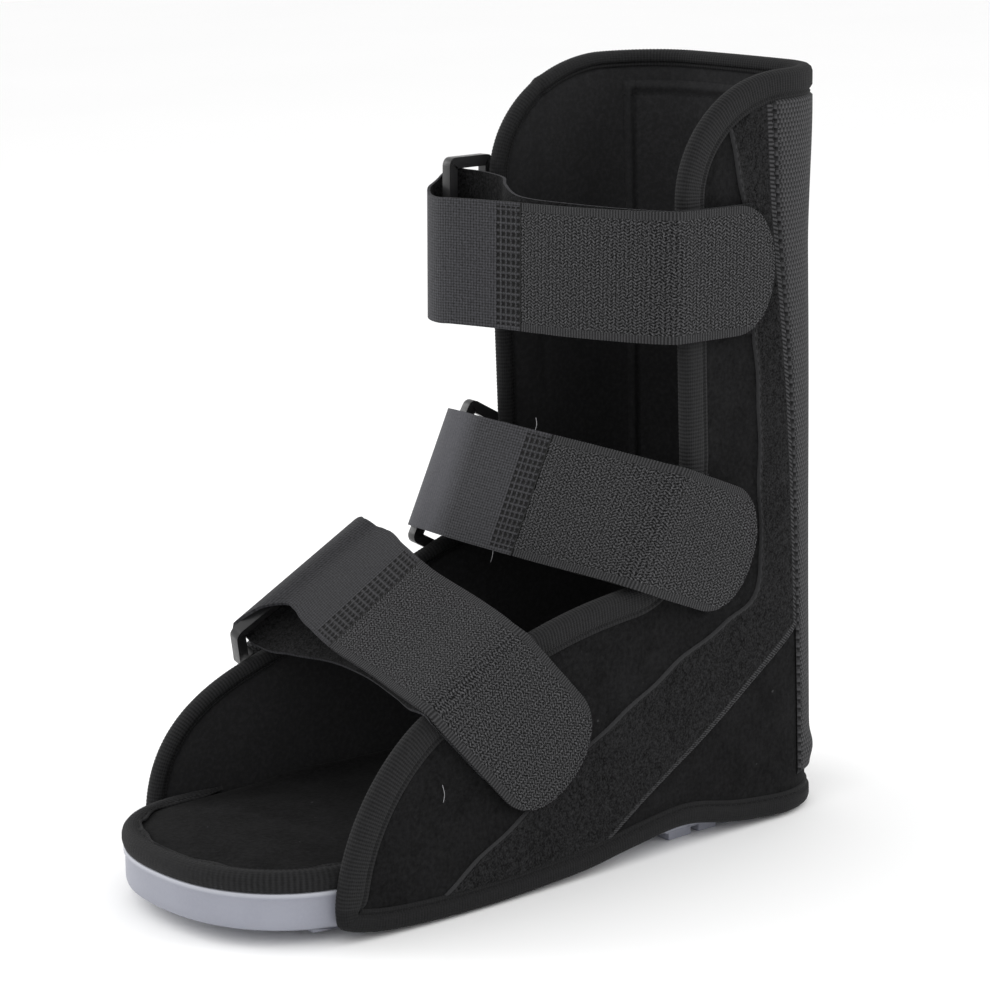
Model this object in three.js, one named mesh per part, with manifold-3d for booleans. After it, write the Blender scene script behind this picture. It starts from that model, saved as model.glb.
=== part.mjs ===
// Ankle fixation shoe: a U-shaped padded felt wall on a rocker sole, closed by three straps.
// Millimetres, +Z up, the floor at z = 0. The toe points to -Y and the wearer's left is +X.
// The straps lie on the left (+X) wall, cross the opening and turn round rings on the right (-X) wall.

import * as THREE from 'three';
import { mergeVertices } from 'three/addons/utils/BufferGeometryUtils.js';
import Module from 'manifold-3d';

const wasm = await Module();
wasm.setup();

// Thicknesses and clearances
const GAP = 0.3;
const WALL = 3.4;
const TAPE = 0.9;
const BINDING_WIDTH = 12;
const STRIP = 1.2;
const WEBBING = 1.6;
const POCKET = 1;
const LOOP_TAPE = 1.2;
const HOOK_TAPE = 1.5;

// Wall plan: outer half width at stations from toe to heel, then a rounded rear corner
const PLAN_SIDE = [
  { y: -112, x: 62.2 },
  { y: -58, x: 64.4 },
  { y: 18, x: 61.5 },
  { y: 80, x: 58 },
  { y: 116, x: 56 },
];
const BACK = { y: 149.3, cornerX: 27, cornerY: 148.5, bulgeX: 55.2, bulgeY: 135, roundX: 43 };
const SIDE_STEPS = 9;
const CORNER_STEPS = 8;
const BACK_STEPS = 2;
const RIGHT_FLARE = { most: 4.5, fromY: -35, toY: -103, limit: 1.1 };

// Wall outline seen from the side: each side's own front edge, then the shared corner, shank and top
const FRONT = {
  left: {
    foot: { y: -102.5, z: 13.4 },
    pulls: [{ y: -100, z: 43.3 }, { y: -80, z: 70 }],
    instep: { y: -60, z: 80.3 },
    instepPull: { y: -19, z: 105.2 },
  },
  right: {
    foot: { y: -103, z: 13.4 },
    pulls: [{ y: -103.5, z: 42 }, { y: -90, z: 60 }],
    instep: { y: -60, z: 71.6 },
    instepPull: { y: -10, z: 90 },
  },
};
const INSTEP_END = { y: 39.5, z: 109.2 };
const CORNER_PULL = { y: 65, z: 112 };
const SHANK_FOOT = { y: 67.7, z: 154 };
const TOP_CURVE = { y: 121.5, z: 252.2, reach: 55.3, rise: 47 };
const FRONT_STEPS = [3, 9, 8, 7, 3, 10];
const WALL_FLOOR = [
  { y: -112, z: 12 },
  { y: -103, z: 7 },
  { y: -95, z: 3.8 },
  { y: -80, z: 1.6 },
  { y: -55, z: 0.7 },
  { y: -30, z: 0.6 },
  { y: -5, z: 1.6 },
  { y: 15, z: 2.9 },
  { y: 40, z: 6.4 },
  { y: 66, z: 8.6 },
  { y: 92, z: 4 },
  { y: 120, z: 1.2 },
  { y: 152, z: 0.6 },
];
const FLOOR_STEPS = 18;

// Sole: a slab that lifts at the toe, with two tread blocks under it
const SOLE_INSET = WALL + TAPE + 2 * GAP;
const TOE = { y: -86.5, reach: 54, power: 2.3, steps: 12 };
const SOLE_TOP = [
  { y: -150, z: 21.6 },
  { y: -110, z: 20.4 },
  { y: -60, z: 19 },
  { y: 0, z: 18.5 },
  { y: 160, z: 18.5 },
];
const SLAB_UNDERSIDE = [
  { y: 160, z: 5 },
  { y: -84, z: 5 },
  { y: -110, z: 5.6 },
  { y: -150, z: 7 },
];
const TREAD_INSET = 5;
const TREAD_TOP = 7;
const FORE_TREAD = [
  { y: -105, z: 4.4 },
  { y: -84, z: 1.8 },
  { y: -62, z: 0 },
  { y: 12, z: 0 },
  { y: 15, z: TREAD_TOP },
  { y: -107, z: TREAD_TOP },
];
const HEEL_TREAD = [
  { y: 66, z: 0 },
  { y: 126, z: 0 },
  { y: 142, z: 1.6 },
  { y: 142, z: TREAD_TOP },
  { y: 63, z: TREAD_TOP },
];
const GROOVE = { width: 4, depth: 3 };
const GROOVE_YS = [-92, -76, -60, -44, -28, -12, 80, 94, 108];

// Footbed on the sole, and the tape round its toe edge
const PAD = 6;
const PAD_TAPE_WIDTH = 8;
const PAD_TAPE_END = -72;

// L-shaped loop strip on each side wall
const STRIP_FRONT = [
  { y: 90, z: 288 },
  { y: 99.5, z: 245 },
  { y: 104.5, z: 199 },
  { y: 107, z: 136 },
  { y: 104.7, z: 99 },
  { y: 87.4, z: 86.5 },
  { y: 57, z: 74 },
  { y: 16, z: 52.3 },
  { y: -37.4, z: 21.7 },
  { y: -66, z: 4 },
];
const STRIP_REAR = [
  { y: 10, z: 3 },
  { y: 43.7, z: 24.6 },
  { y: 78, z: 44.2 },
  { y: 111, z: 66 },
  { y: 141, z: 87 },
];

// Woven strip round the back: its edge on the side wall, by height
const WEBBING_EDGE = [
  { y: 114, z: 310 },
  { y: 116.5, z: 249 },
  { y: 124.5, z: 167 },
  { y: 129, z: 55 },
  { y: 130, z: -5 },
];
const WEBBING_FOOT = 16;

// Pocket sewn inside the back
const POCKET_FRONT = 131;
const POCKET_FOOT = 32;
const POCKET_TOP = 281;

// Straps and rings
const STRAP_HALF = 25;
const TIP_LENGTH = 22;
const TIP_POWER = 2.1;
const TIP_STEPS = 6;
const ROW_STEPS = 3;
const RING = { bar: 4.5, thick: 4, slotHalf: 27, pitch: 20.6, corner: 3, bevel: 0.6, slotCorner: 1.5 };
const TAB = { half: 24, layer: 1.1, length: 27, ramp: 2, flat: 14, eye: 3.1, bendSteps: 6 };

// One entry a strap. ringLean, hinge (y, z) and swing: the ring's turn from upright, its rear bar on the
// right wall, and how far it tips inwards, in degrees. seam: the path row where the two tapes meet.
// path: the centre line from the tip over the opening, round the ring's front bar, through its slot and
// back under itself to the sewn end. out is the distance from the left wall's face where the tape lies
// on it, x the place elsewhere, and lean the turn of the tape's width from upright.
const STRAPS = [
  {
    name: 'top', ringLean: 1.5, hinge: { y: 68, z: 230 }, swing: 12, seam: 5.68,
    path: [
      { out: 2.7, y: 113, z: 224.4, lean: 1.5 },
      { out: 4.05, y: 100, z: 224.8, lean: 1.5 },
      { out: 4.05, y: 70, z: 225.5, lean: 1.5 },
      { x: 62.5, y: 61, z: 225.7, lean: 1.5 },
      { x: 56.5, y: 55.5, z: 225.8, lean: 1.5 },
      { x: 20, y: 44.5, z: 225.2, lean: 1.5 },
      { x: -17, y: 39, z: 224.6, lean: 1.5 },
      { x: -43, y: 34.2, z: 224, lean: 1.5 },
      { x: -51.5, y: 33.9, z: 223.5, lean: 1.5 },
      { x: -60, y: 36.4, z: 223.9, lean: 1.5 },
      { x: -66, y: 41.5, z: 225.3, lean: 1.5 },
      { x: -68.5, y: 48.5, z: 227.1, lean: 1.5 },
      { x: -65.5, y: 56.6, z: 229.4, lean: 1.5 },
      { x: -57, y: 58.1, z: 229.8, lean: 1.5 },
      { x: -46, y: 57, z: 229.6, lean: 1.5 },
      { x: -35, y: 54.6, z: 229.2, lean: 1.5 },
      { x: -26, y: 48.4, z: 228.2, lean: 1.5 },
      { x: -12, y: 43.2, z: 226.8, lean: 1.5 },
      { x: 20, y: 46.8, z: 226.1, lean: 1.5 },
      { x: 54.5, y: 57.4, z: 225.8, lean: 1.5 },
      { x: 60.3, y: 62, z: 225.7, lean: 1.5 },
      { out: 2.4, y: 70, z: 225.5, lean: 1.5 },
      { out: 2.4, y: 101, z: 224.7, lean: 1.5 },
    ],
  },
  {
    name: 'middle', ringLean: 29.5, hinge: { y: 61, z: 124.6 }, swing: 5, seam: 5.38,
    path: [
      { out: 2.7, y: 100, z: 110.3, lean: 22 },
      { out: 4.05, y: 87, z: 115.8, lean: 22 },
      { out: 5.6, y: 62, z: 126.1, lean: 27 },
      { x: 64.4, y: 49.2, z: 131.6, lean: 33 },
      { x: 57.5, y: 44.4, z: 133.4, lean: 33 },
      { x: 20, y: 37, z: 136.2, lean: 27 },
      { x: -17, y: 33.2, z: 137.8, lean: 24.5 },
      { x: -40, y: 32.6, z: 138.3, lean: 23.5 },
      { x: -49.5, y: 33, z: 138.4, lean: 23.5 },
      { x: -58, y: 34.4, z: 138, lean: 24.5 },
      { x: -65.8, y: 38, z: 136.7, lean: 26 },
      { x: -69.3, y: 43.3, z: 134.6, lean: 28 },
      { x: -66, y: 47.3, z: 133, lean: 29.5 },
      { x: -57, y: 48.5, z: 132.4, lean: 29.5 },
      { x: -45, y: 45.3, z: 133.8, lean: 29 },
      { x: -33, y: 40.5, z: 135.8, lean: 27 },
      { x: -17, y: 35.4, z: 137, lean: 25 },
      { x: 20, y: 39.4, z: 135.4, lean: 27.5 },
      { x: 55.5, y: 46.5, z: 132.6, lean: 33 },
      { x: 62, y: 50.3, z: 131.4, lean: 33 },
      { out: 3.8, y: 62, z: 126.1, lean: 27 },
      { out: 2.4, y: 88, z: 115.4, lean: 22 },
    ],
  },
  {
    name: 'lower', ringLean: 61.5, hinge: { y: -27.9, z: 85.3 }, swing: 34, seam: 6.2,
    path: [
      { out: 2.7, y: 3.9, z: 41.8, lean: 47.5 },
      { out: 4.05, y: -8.5, z: 55.3, lean: 47.5 },
      { out: 4.05, y: -34, z: 83.4, lean: 55 },
      { x: 67.9, y: -41.4, z: 91.9, lean: 61 },
      { x: 62, y: -42.4, z: 94.4, lean: 62 },
      { x: 30, y: -37.6, z: 98.4, lean: 60.5 },
      { x: 0, y: -34.6, z: 102.5, lean: 59 },
      { x: -24, y: -29.6, z: 106.4, lean: 60 },
      { x: -40, y: -25.4, z: 109, lean: 61.5 },
      { x: -47, y: -25, z: 109.6, lean: 62 },
      { x: -55, y: -28.6, z: 109.4, lean: 62 },
      { x: -62, y: -32.8, z: 104.6, lean: 61.5 },
      { x: -64.4, y: -34, z: 98.6, lean: 60.5 },
      { x: -61, y: -33, z: 93.8, lean: 59.5 },
      { x: -53, y: -32.6, z: 92.6, lean: 58.5 },
      { x: -40, y: -30, z: 93.4, lean: 57.5 },
      { x: -20, y: -26, z: 94, lean: 56 },
      { x: 10, y: -28.5, z: 93.8, lean: 58 },
      { x: 40, y: -35.5, z: 92.8, lean: 60 },
      { x: 58, y: -41, z: 92.3, lean: 62 },
      { x: 63, y: -41.6, z: 92.1, lean: 62 },
      { x: 66.3, y: -41.2, z: 91.2, lean: 62 },
      { out: 2.4, y: -36, z: 85.6, lean: 56 },
      { out: 2.4, y: -19.5, z: 67.6, lean: 47.5 },
    ],
  },
];

const FINISH = {
  felt: { color: 0x0b0b0d, roughness: 0.97, metalness: 0 },
  tape: { color: 0x151518, roughness: 0.85, metalness: 0 },
  loop: { color: 0x1c1c1f, roughness: 0.97, metalness: 0 },
  webbing: { color: 0x1e1e22, roughness: 0.85, metalness: 0 },
  tapeBack: { color: 0x2a2a2e, roughness: 0.7, metalness: 0 },
  hook: { color: 0x2e2e33, roughness: 0.85, metalness: 0 },
  ring: { color: 0x1a1a1c, roughness: 0.4, metalness: 0 },
  sole: { color: 0xb4b4c0, roughness: 0.5, metalness: 0 },
};

// Reach of the cutting blocks
const BOX_HIGH = 340;
const BOX_LOW = -60;
const FAR_BACK = 180;
const HALF_SPAN = 100;

const shoe = new THREE.Group();
shoe.name = 'ankle_fixation_shoe';

/** Adds one named piece to the shoe. */
function addPiece(name, geometry, finish) {
  const mesh = new THREE.Mesh(geometry, new THREE.MeshStandardMaterial(FINISH[finish]));
  mesh.name = name;
  shoe.add(mesh);
}

/** A closed geometry as a solid that can be joined and cut. */
function solid(geometry) {
  const plain = geometry.clone();
  plain.deleteAttribute('normal');
  plain.deleteAttribute('uv');
  const merged = mergeVertices(plain, 1e-4);
  return new wasm.Manifold(new wasm.Mesh({
    numProp: 3,
    vertProperties: new Float32Array(merged.attributes.position.array),
    triVerts: new Uint32Array(merged.index.array),
  }));
}

/** A solid as a geometry. */
function geometryOf(body) {
  const mesh = body.getMesh();
  const geometry = new THREE.BufferGeometry();
  geometry.setAttribute('position', new THREE.BufferAttribute(new Float32Array(mesh.vertProperties), 3));
  geometry.setIndex(Array.from(mesh.triVerts));
  return geometry;
}

/** Points of a polyline moved sideways by a distance, to the right of its direction. */
function shifted(points, distance) {
  return points.map((point, i) => {
    const before = points[Math.max(i - 1, 0)];
    const after = points[Math.min(i + 1, points.length - 1)];
    const along = after.clone().sub(before).normalize();
    return new THREE.Vector2(point.x + along.y * distance, point.y - along.x * distance);
  });
}

/** A plan outline in (x, y) raised from one height to another. */
function upright(points, low, high) {
  const geometry = new THREE.ExtrudeGeometry(new THREE.Shape(points), {
    depth: high - low, bevelEnabled: false, steps: 1,
  });
  return geometry.translate(0, 0, low);
}

/** A side outline in (y, z) carried across from one x to another. */
function across(points, low = -HALF_SPAN, high = HALF_SPAN) {
  const geometry = new THREE.ExtrudeGeometry(new THREE.Shape(points), {
    depth: high - low, bevelEnabled: false, steps: 1,
  });
  const turn = new THREE.Matrix4().makeBasis(
    new THREE.Vector3(0, 1, 0), new THREE.Vector3(0, 0, 1), new THREE.Vector3(1, 0, 0),
  );
  return geometry.applyMatrix4(turn).translate(low, 0, 0);
}

const yz = (row) => new THREE.Vector2(row.y, row.z);

// Left half of the wall plan, from the toe end to the middle of the back
const sideCurve = new THREE.SplineCurve(PLAN_SIDE.map((row) => new THREE.Vector2(row.x, row.y)));
const lastSide = PLAN_SIDE[PLAN_SIDE.length - 1];
const cornerCurve = new THREE.CubicBezierCurve(
  new THREE.Vector2(lastSide.x, lastSide.y), new THREE.Vector2(BACK.bulgeX, BACK.bulgeY),
  new THREE.Vector2(BACK.roundX, BACK.cornerY), new THREE.Vector2(BACK.cornerX, BACK.cornerY),
);
const backCurve = new THREE.QuadraticBezierCurve(
  new THREE.Vector2(BACK.cornerX, BACK.cornerY), new THREE.Vector2(BACK.cornerX / 2, BACK.y),
  new THREE.Vector2(0, BACK.y),
);
const leftPlan = [
  ...sideCurve.getPoints(SIDE_STEPS),
  ...cornerCurve.getPoints(CORNER_STEPS).slice(1),
  ...backCurve.getPoints(BACK_STEPS).slice(1),
];
const mirrored = (points) => points.map((point) => new THREE.Vector2(-point.x, point.y));

/** How much further out the right wall leans than the left one, at a station. */
function flareAt(y) {
  const { most, fromY, toY, limit } = RIGHT_FLARE;
  const share = THREE.MathUtils.clamp((fromY - y) / (fromY - toY), 0, limit);
  return most * share * share;
}

const rightPlan = mirrored(leftPlan).map((point) => new THREE.Vector2(point.x - flareAt(point.y), point.y));
const wholePlan = [...leftPlan, ...rightPlan.reverse().slice(1)];

/** The U-shaped ring between two offsets from the wall's outer face, over the full height. */
function ring(outer, inner) {
  const points = [...shifted(wholePlan, outer), ...shifted(wholePlan, inner).reverse()];
  return solid(upright(points, BOX_LOW, BOX_HIGH));
}

/** Outer half width of the wall and its slope at a station. */
function planAt(y) {
  let low = 0;
  let high = 1;
  for (let i = 0; i < 40; i += 1) {
    const middle = (low + high) / 2;
    if (sideCurve.getPoint(middle).y < y) low = middle;
    else high = middle;
  }
  const tangent = sideCurve.getTangent(low);
  return { x: sideCurve.getPoint(low).x, slope: tangent.x / tangent.y };
}

/** Points of the wall's outline from one side, from under the toe corner to the top. */
function frontPoints({ foot, pulls, instep, instepPull }) {
  const topStart = new THREE.Vector2(TOP_CURVE.y - TOP_CURVE.reach, TOP_CURVE.z);
  const below = new THREE.Vector2(foot.y + 12, BOX_LOW);
  const curves = [
    new THREE.QuadraticBezierCurve(below, new THREE.Vector2(foot.y, -4), yz(foot)),
    new THREE.CubicBezierCurve(yz(foot), ...pulls.map(yz), yz(instep)),
    new THREE.QuadraticBezierCurve(yz(instep), yz(instepPull), yz(INSTEP_END)),
    new THREE.QuadraticBezierCurve(yz(INSTEP_END), yz(CORNER_PULL), yz(SHANK_FOOT)),
    new THREE.LineCurve(yz(SHANK_FOOT), topStart),
    new THREE.EllipseCurve(
      TOP_CURVE.y, TOP_CURVE.z, TOP_CURVE.reach, TOP_CURVE.rise, Math.PI, Math.PI / 2, true,
    ),
  ];
  return curves.flatMap((curve, i) => curve.getPoints(FRONT_STEPS[i]).slice(i ? 1 : 0));
}

const floorCurve = new THREE.SplineCurve(WALL_FLOOR.map(yz));

/** One side's outline, drawn in from its edge by a distance, as a block between two places in x. */
function halfBlock(side, inset, low, high) {
  const edge = frontPoints(side);
  const front = shifted([...edge, new THREE.Vector2(FAR_BACK, edge.at(-1).y)], inset);
  const below = solid(across([...front, new THREE.Vector2(FAR_BACK, BOX_LOW)], low, high));
  const floor = shifted(floorCurve.getPoints(FLOOR_STEPS), -inset);
  const ends = [new THREE.Vector2(FAR_BACK, BOX_HIGH), new THREE.Vector2(-FAR_BACK, BOX_HIGH)];
  const start = new THREE.Vector2(-FAR_BACK, floor[0].y);
  const finish = new THREE.Vector2(FAR_BACK, floor.at(-1).y);
  return below.intersect(solid(across([start, ...floor, finish, ...ends], low, high)));
}

/** The wall's side outlines, drawn in from their edges by a distance, as one wide block. */
function sideBlock(inset) {
  return halfBlock(FRONT.left, inset, 0, HALF_SPAN).add(halfBlock(FRONT.right, inset, -HALF_SPAN, 0));
}

/** The outline of the sole, drawn in by a distance. */
function soleOutline(inset) {
  const side = shifted(leftPlan, -SOLE_INSET - inset).filter((point) => point.y > TOE.y + 4);
  const half = planAt(TOE.y).x - SOLE_INSET - inset;
  const reach = TOE.reach - inset;
  const toe = [];
  for (let i = 0; i <= TOE.steps; i += 1) {
    const angle = (i / TOE.steps) * (Math.PI / 2);
    const x = half * Math.sin(angle) ** (2 / TOE.power);
    const y = TOE.y - reach * Math.cos(angle) ** (2 / TOE.power);
    toe.push(new THREE.Vector2(x, y));
  }
  const left = [...toe, ...side];
  return [...left, ...mirrored(left).reverse().slice(1, -1)];
}

/** The sole's outline drawn in by a distance, between two heights above the sole's top. */
function layer(inset, low, high) {
  const lower = SOLE_TOP.map((row) => new THREE.Vector2(row.y, row.z + low));
  const upper = SOLE_TOP.map((row) => new THREE.Vector2(row.y, row.z + high)).reverse();
  return solid(upright(soleOutline(inset), BOX_LOW, BOX_HIGH)).intersect(solid(across([...lower, ...upper])));
}

/** The moulded sole: a slab with a lifted toe, a fore and a heel tread block, and cross grooves. */
function makeSole() {
  const slabSide = [...SOLE_TOP.map(yz), ...SLAB_UNDERSIDE.map(yz)];
  let body = solid(upright(soleOutline(0), BOX_LOW, BOX_HIGH)).intersect(solid(across(slabSide)));
  const treadPlan = solid(upright(soleOutline(TREAD_INSET), BOX_LOW, BOX_HIGH));
  for (const block of [FORE_TREAD, HEEL_TREAD]) {
    body = body.add(treadPlan.intersect(solid(across(block.map(yz)))));
  }
  for (const y of GROOVE_YS) {
    const cutter = new THREE.BoxGeometry(200, GROOVE.width, 20);
    body = body.subtract(solid(cutter.translate(0, y, GROOVE.depth - 10)));
  }
  return geometryOf(body);
}

/** The ribbed tape round the toe edge of the footbed: a side wall and a turned-over top. */
function makePadTape() {
  const toeHalf = [
    { y: -FAR_BACK, z: BOX_LOW }, { y: PAD_TAPE_END, z: BOX_LOW },
    { y: PAD_TAPE_END, z: BOX_HIGH }, { y: -FAR_BACK, z: BOX_HIGH },
  ];
  const rim = layer(0, GAP, GAP + PAD + GAP + TAPE).intersect(solid(across(toeHalf.map(yz))));
  const pad = layer(TAPE, -PAD, GAP + PAD + GAP);
  const middle = solid(upright(soleOutline(PAD_TAPE_WIDTH), BOX_LOW, BOX_HIGH));
  return geometryOf(rim.subtract(pad).subtract(middle));
}

const wallBlock = sideBlock(GAP + TAPE);
const inBinding = sideBlock(BINDING_WIDTH + GAP);

/** The tape folded over the whole edge of the wall. */
function makeUpperBinding() {
  const shell = ring(GAP + TAPE, -WALL - GAP - TAPE);
  const band = sideBlock(0).subtract(sideBlock(BINDING_WIDTH));
  const seat = ring(GAP, -WALL - GAP).intersect(sideBlock(TAPE));
  return geometryOf(shell.intersect(band).subtract(seat));
}

const webbingSide = [
  ...new THREE.SplineCurve(WEBBING_EDGE.map(yz)).getPoints(8),
  new THREE.Vector2(FAR_BACK, 0), new THREE.Vector2(FAR_BACK, 310),
];

/** The woven strip round the back, from the top binding to just above the heel. */
function makeBackWebbing() {
  const foot = new THREE.BoxGeometry(300, 300, 200).translate(0, 0, WEBBING_FOOT - 100);
  const zone = solid(across(webbingSide)).intersect(inBinding).subtract(solid(foot));
  return geometryOf(ring(GAP + WEBBING, GAP).intersect(zone));
}

/** The L-shaped strip on one side wall, clear of the binding and of the woven strip. */
function makeLoopStrip(low, high) {
  const front = new THREE.SplineCurve(STRIP_FRONT.map(yz)).getPoints(22);
  const rear = STRIP_REAR.map(yz);
  const outline = [...front, ...rear, new THREE.Vector2(141, 288)];
  const clear = webbingSide.map((point) => new THREE.Vector2(point.x - GAP, point.y));
  const zone = solid(across(outline, low, high)).intersect(inBinding).subtract(solid(across(clear)));
  return geometryOf(ring(GAP + STRIP, GAP).intersect(zone));
}

/** The pocket sewn flat inside the back. */
function makeStayPocket() {
  const outline = [
    { y: POCKET_FRONT, z: POCKET_FOOT }, { y: FAR_BACK, z: POCKET_FOOT },
    { y: FAR_BACK, z: POCKET_TOP }, { y: POCKET_FRONT, z: POCKET_TOP },
  ];
  return geometryOf(ring(-WALL - GAP, -WALL - GAP - POCKET).intersect(solid(across(outline.map(yz)))));
}

/** A flat ribbon through stations of centre, width direction and half width. */
function ribbon(stations, thickness) {
  const positions = [];
  const index = [];
  stations.forEach((station, i) => {
    const before = stations[Math.max(i - 1, 0)].centre;
    const after = stations[Math.min(i + 1, stations.length - 1)].centre;
    const along = after.clone().sub(before).normalize();
    const face = along.clone().cross(station.width).normalize().multiplyScalar(thickness / 2);
    const edge = station.width.clone().multiplyScalar(station.half);
    for (const [u, v] of [[-1, -1], [1, -1], [1, 1], [-1, 1]]) {
      const corner = station.centre.clone().addScaledVector(edge, u).addScaledVector(face, v);
      positions.push(corner.x, corner.y, corner.z);
    }
  });
  const quad = (a, b, c, d) => index.push(a, b, c, a, c, d);
  for (let i = 0; i + 1 < stations.length; i += 1) {
    for (let k = 0; k < 4; k += 1) {
      const next = (k + 1) % 4;
      quad(4 * i + k, 4 * i + next, 4 * i + 4 + next, 4 * i + 4 + k);
    }
  }
  const last = 4 * (stations.length - 1);
  quad(3, 2, 1, 0);
  quad(last, last + 1, last + 2, last + 3);
  const geometry = new THREE.BufferGeometry();
  geometry.setAttribute('position', new THREE.Float32BufferAttribute(positions, 3));
  geometry.setIndex(index);
  return geometry;
}

const vector = (x, y, z) => new THREE.Vector3(x, y, z);
const radians = THREE.MathUtils.degToRad;
const widthAt = (lean) => vector(0, Math.sin(radians(lean)), Math.cos(radians(lean)));
const RING_LIFT = GAP + TAPE + GAP + TAB.layer + TAB.eye;

/** A ring's axes on the right wall (out of it, off its edge, along the ring), its seat and its two bars. */
function ringFrame(strap) {
  const { x, slope } = planAt(strap.hinge.y);
  const out = vector(-1, -slope, 0).normalize();
  const off = widthAt(strap.ringLean).cross(out).normalize();
  const long = out.clone().cross(off);
  const seat = vector(-x - flareAt(strap.hinge.y), strap.hinge.y, strap.hinge.z);
  const rear = seat.clone().addScaledVector(out, RING_LIFT);
  const swing = radians(strap.swing);
  const reach = off.clone().multiplyScalar(Math.cos(swing)).addScaledVector(out, -Math.sin(swing));
  const front = rear.clone().addScaledVector(reach, RING.pitch);
  return { out, long, off, seat, rear, reach, front };
}

/** Places a flat drawing (first axis, second axis) so that its middle depth lies on an origin. */
function placed(geometry, first, second, origin) {
  const third = first.clone().cross(second).normalize();
  const turn = new THREE.Matrix4().makeBasis(first, second, third).setPosition(origin);
  return geometry.applyMatrix4(turn);
}

/** A rectangle with round corners, as a path. */
function roundedRectangle(path, halfWidth, halfHeight, corner) {
  path.moveTo(-halfWidth + corner, -halfHeight);
  path.lineTo(halfWidth - corner, -halfHeight);
  path.quadraticCurveTo(halfWidth, -halfHeight, halfWidth, -halfHeight + corner);
  path.lineTo(halfWidth, halfHeight - corner);
  path.quadraticCurveTo(halfWidth, halfHeight, halfWidth - corner, halfHeight);
  path.lineTo(-halfWidth + corner, halfHeight);
  path.quadraticCurveTo(-halfWidth, halfHeight, -halfWidth, halfHeight - corner);
  path.lineTo(-halfWidth, -halfHeight + corner);
  path.quadraticCurveTo(-halfWidth, -halfHeight, -halfWidth + corner, -halfHeight);
  return path;
}

/** A flat plastic ring with one long slot. */
function makeRing(strap) {
  const { long, reach, rear, front } = ringFrame(strap);
  const edge = RING.bar - RING.bevel;
  const halfWidth = RING.pitch / 2;
  const shape = roundedRectangle(
    new THREE.Shape(), RING.slotHalf + edge, halfWidth + RING.bar / 2 - RING.bevel, RING.corner,
  );
  shape.holes.push(roundedRectangle(
    new THREE.Path(), RING.slotHalf + RING.bevel, halfWidth - RING.bar / 2 + RING.bevel, RING.slotCorner,
  ));
  const depth = RING.thick - 2 * RING.bevel;
  const geometry = new THREE.ExtrudeGeometry(shape, {
    depth, steps: 1, curveSegments: 3, bevelEnabled: true, bevelSegments: 1,
    bevelThickness: RING.bevel, bevelSize: RING.bevel,
  });
  geometry.translate(0, 0, -depth / 2);
  return placed(geometry, long, reach, rear.clone().add(front).multiplyScalar(0.5));
}

/** The webbing tab that turns round a ring's rear bar and lies doubled on the right wall. */
function makeRingTab(strap) {
  const { out, off, seat } = ringFrame(strap);
  const low = GAP + TAPE + GAP;
  const nose = TAB.eye + TAB.layer;
  const tail = -nose - TAB.flat;
  const outline = [[-TAB.length, GAP], [tail - TAB.ramp, GAP], [tail, low]];
  const eye = [];
  for (let i = 0; i <= 2 * TAB.bendSteps; i += 1) {
    const angle = -Math.PI / 2 + (Math.PI * i) / TAB.bendSteps;
    const side = [Math.cos(angle), Math.sin(angle)];
    if (i <= TAB.bendSteps) outline.push([nose * side[0], RING_LIFT + nose * side[1]]);
    if (i > 0) eye.push([TAB.eye * side[0], RING_LIFT + TAB.eye * side[1]]);
  }
  const doubled = 2 * TAB.layer;
  outline.push([tail, low + doubled], [tail - TAB.ramp, GAP + doubled], [-TAB.length, GAP + doubled]);
  const shape = new THREE.Shape(outline.map(([s, t]) => new THREE.Vector2(s, t)));
  shape.holes.push(new THREE.Path(eye.map(([s, t]) => new THREE.Vector2(s, t))));
  const geometry = new THREE.ExtrudeGeometry(shape, { depth: 2 * TAB.half, steps: 1, bevelEnabled: false });
  geometry.translate(0, 0, -TAB.half);
  return placed(geometry, off, out, seat);
}

/** A strap's centre line as a curve, with the ribbon station at any place on it. */
function strapLine(strap) {
  const rows = strap.path;
  const points = rows.map((row) => vector(row.x ?? planAt(row.y).x + row.out, row.y, row.z));
  const curve = new THREE.CatmullRomCurve3(points, false, 'centripetal');
  const stationAt = (place, share = 1) => {
    const row = Math.min(Math.floor(place), rows.length - 2);
    const lean = THREE.MathUtils.lerp(rows[row].lean, rows[row + 1].lean, place - row);
    const along = curve.getTangent(place / (rows.length - 1));
    const width = widthAt(lean);
    const half = (STRAP_HALF * share) / width.clone().cross(along).length();
    return { centre: curve.getPoint(place / (rows.length - 1)), width, half };
  };
  return { curve, stationAt, last: rows.length - 1 };
}

/** Ribbon stations between two rows of a strap's path. */
function stationsBetween(stationAt, from, to) {
  const count = Math.round(ROW_STEPS * (to - from));
  const stations = [];
  for (let i = 0; i <= count; i += 1) stations.push(stationAt(from + ((to - from) * i) / count));
  return stations;
}

/** One strap: its hook tongue with a rounded tip, and its loop tape round the ring. */
function addStrap(strap) {
  const { curve, stationAt, last } = strapLine(strap);
  const placeAt = (distance) => curve.getUtoTmapping(0, distance) * last;
  const tongue = [];
  for (let i = 0; i < TIP_STEPS; i += 1) {
    const share = Math.sin(((i + 0.6) / TIP_STEPS) * (Math.PI / 2));
    const back = TIP_LENGTH * (1 - (1 - share ** TIP_POWER) ** (1 / TIP_POWER));
    tongue.push(stationAt(placeAt(back), share));
  }
  const seam = stationAt(strap.seam).centre;
  const next = stationAt(strap.seam + 1).centre;
  const hookEnd = strap.seam - GAP / seam.distanceTo(next);
  const hook = [...tongue, ...stationsBetween(stationAt, placeAt(TIP_LENGTH), hookEnd)];
  addPiece(`strap_${strap.name}_hook`, ribbon(hook, HOOK_TAPE), 'hook');
  const loop = stationsBetween(stationAt, strap.seam, last);
  addPiece(`strap_${strap.name}_loop`, ribbon(loop, LOOP_TAPE), 'tapeBack');
}

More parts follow.
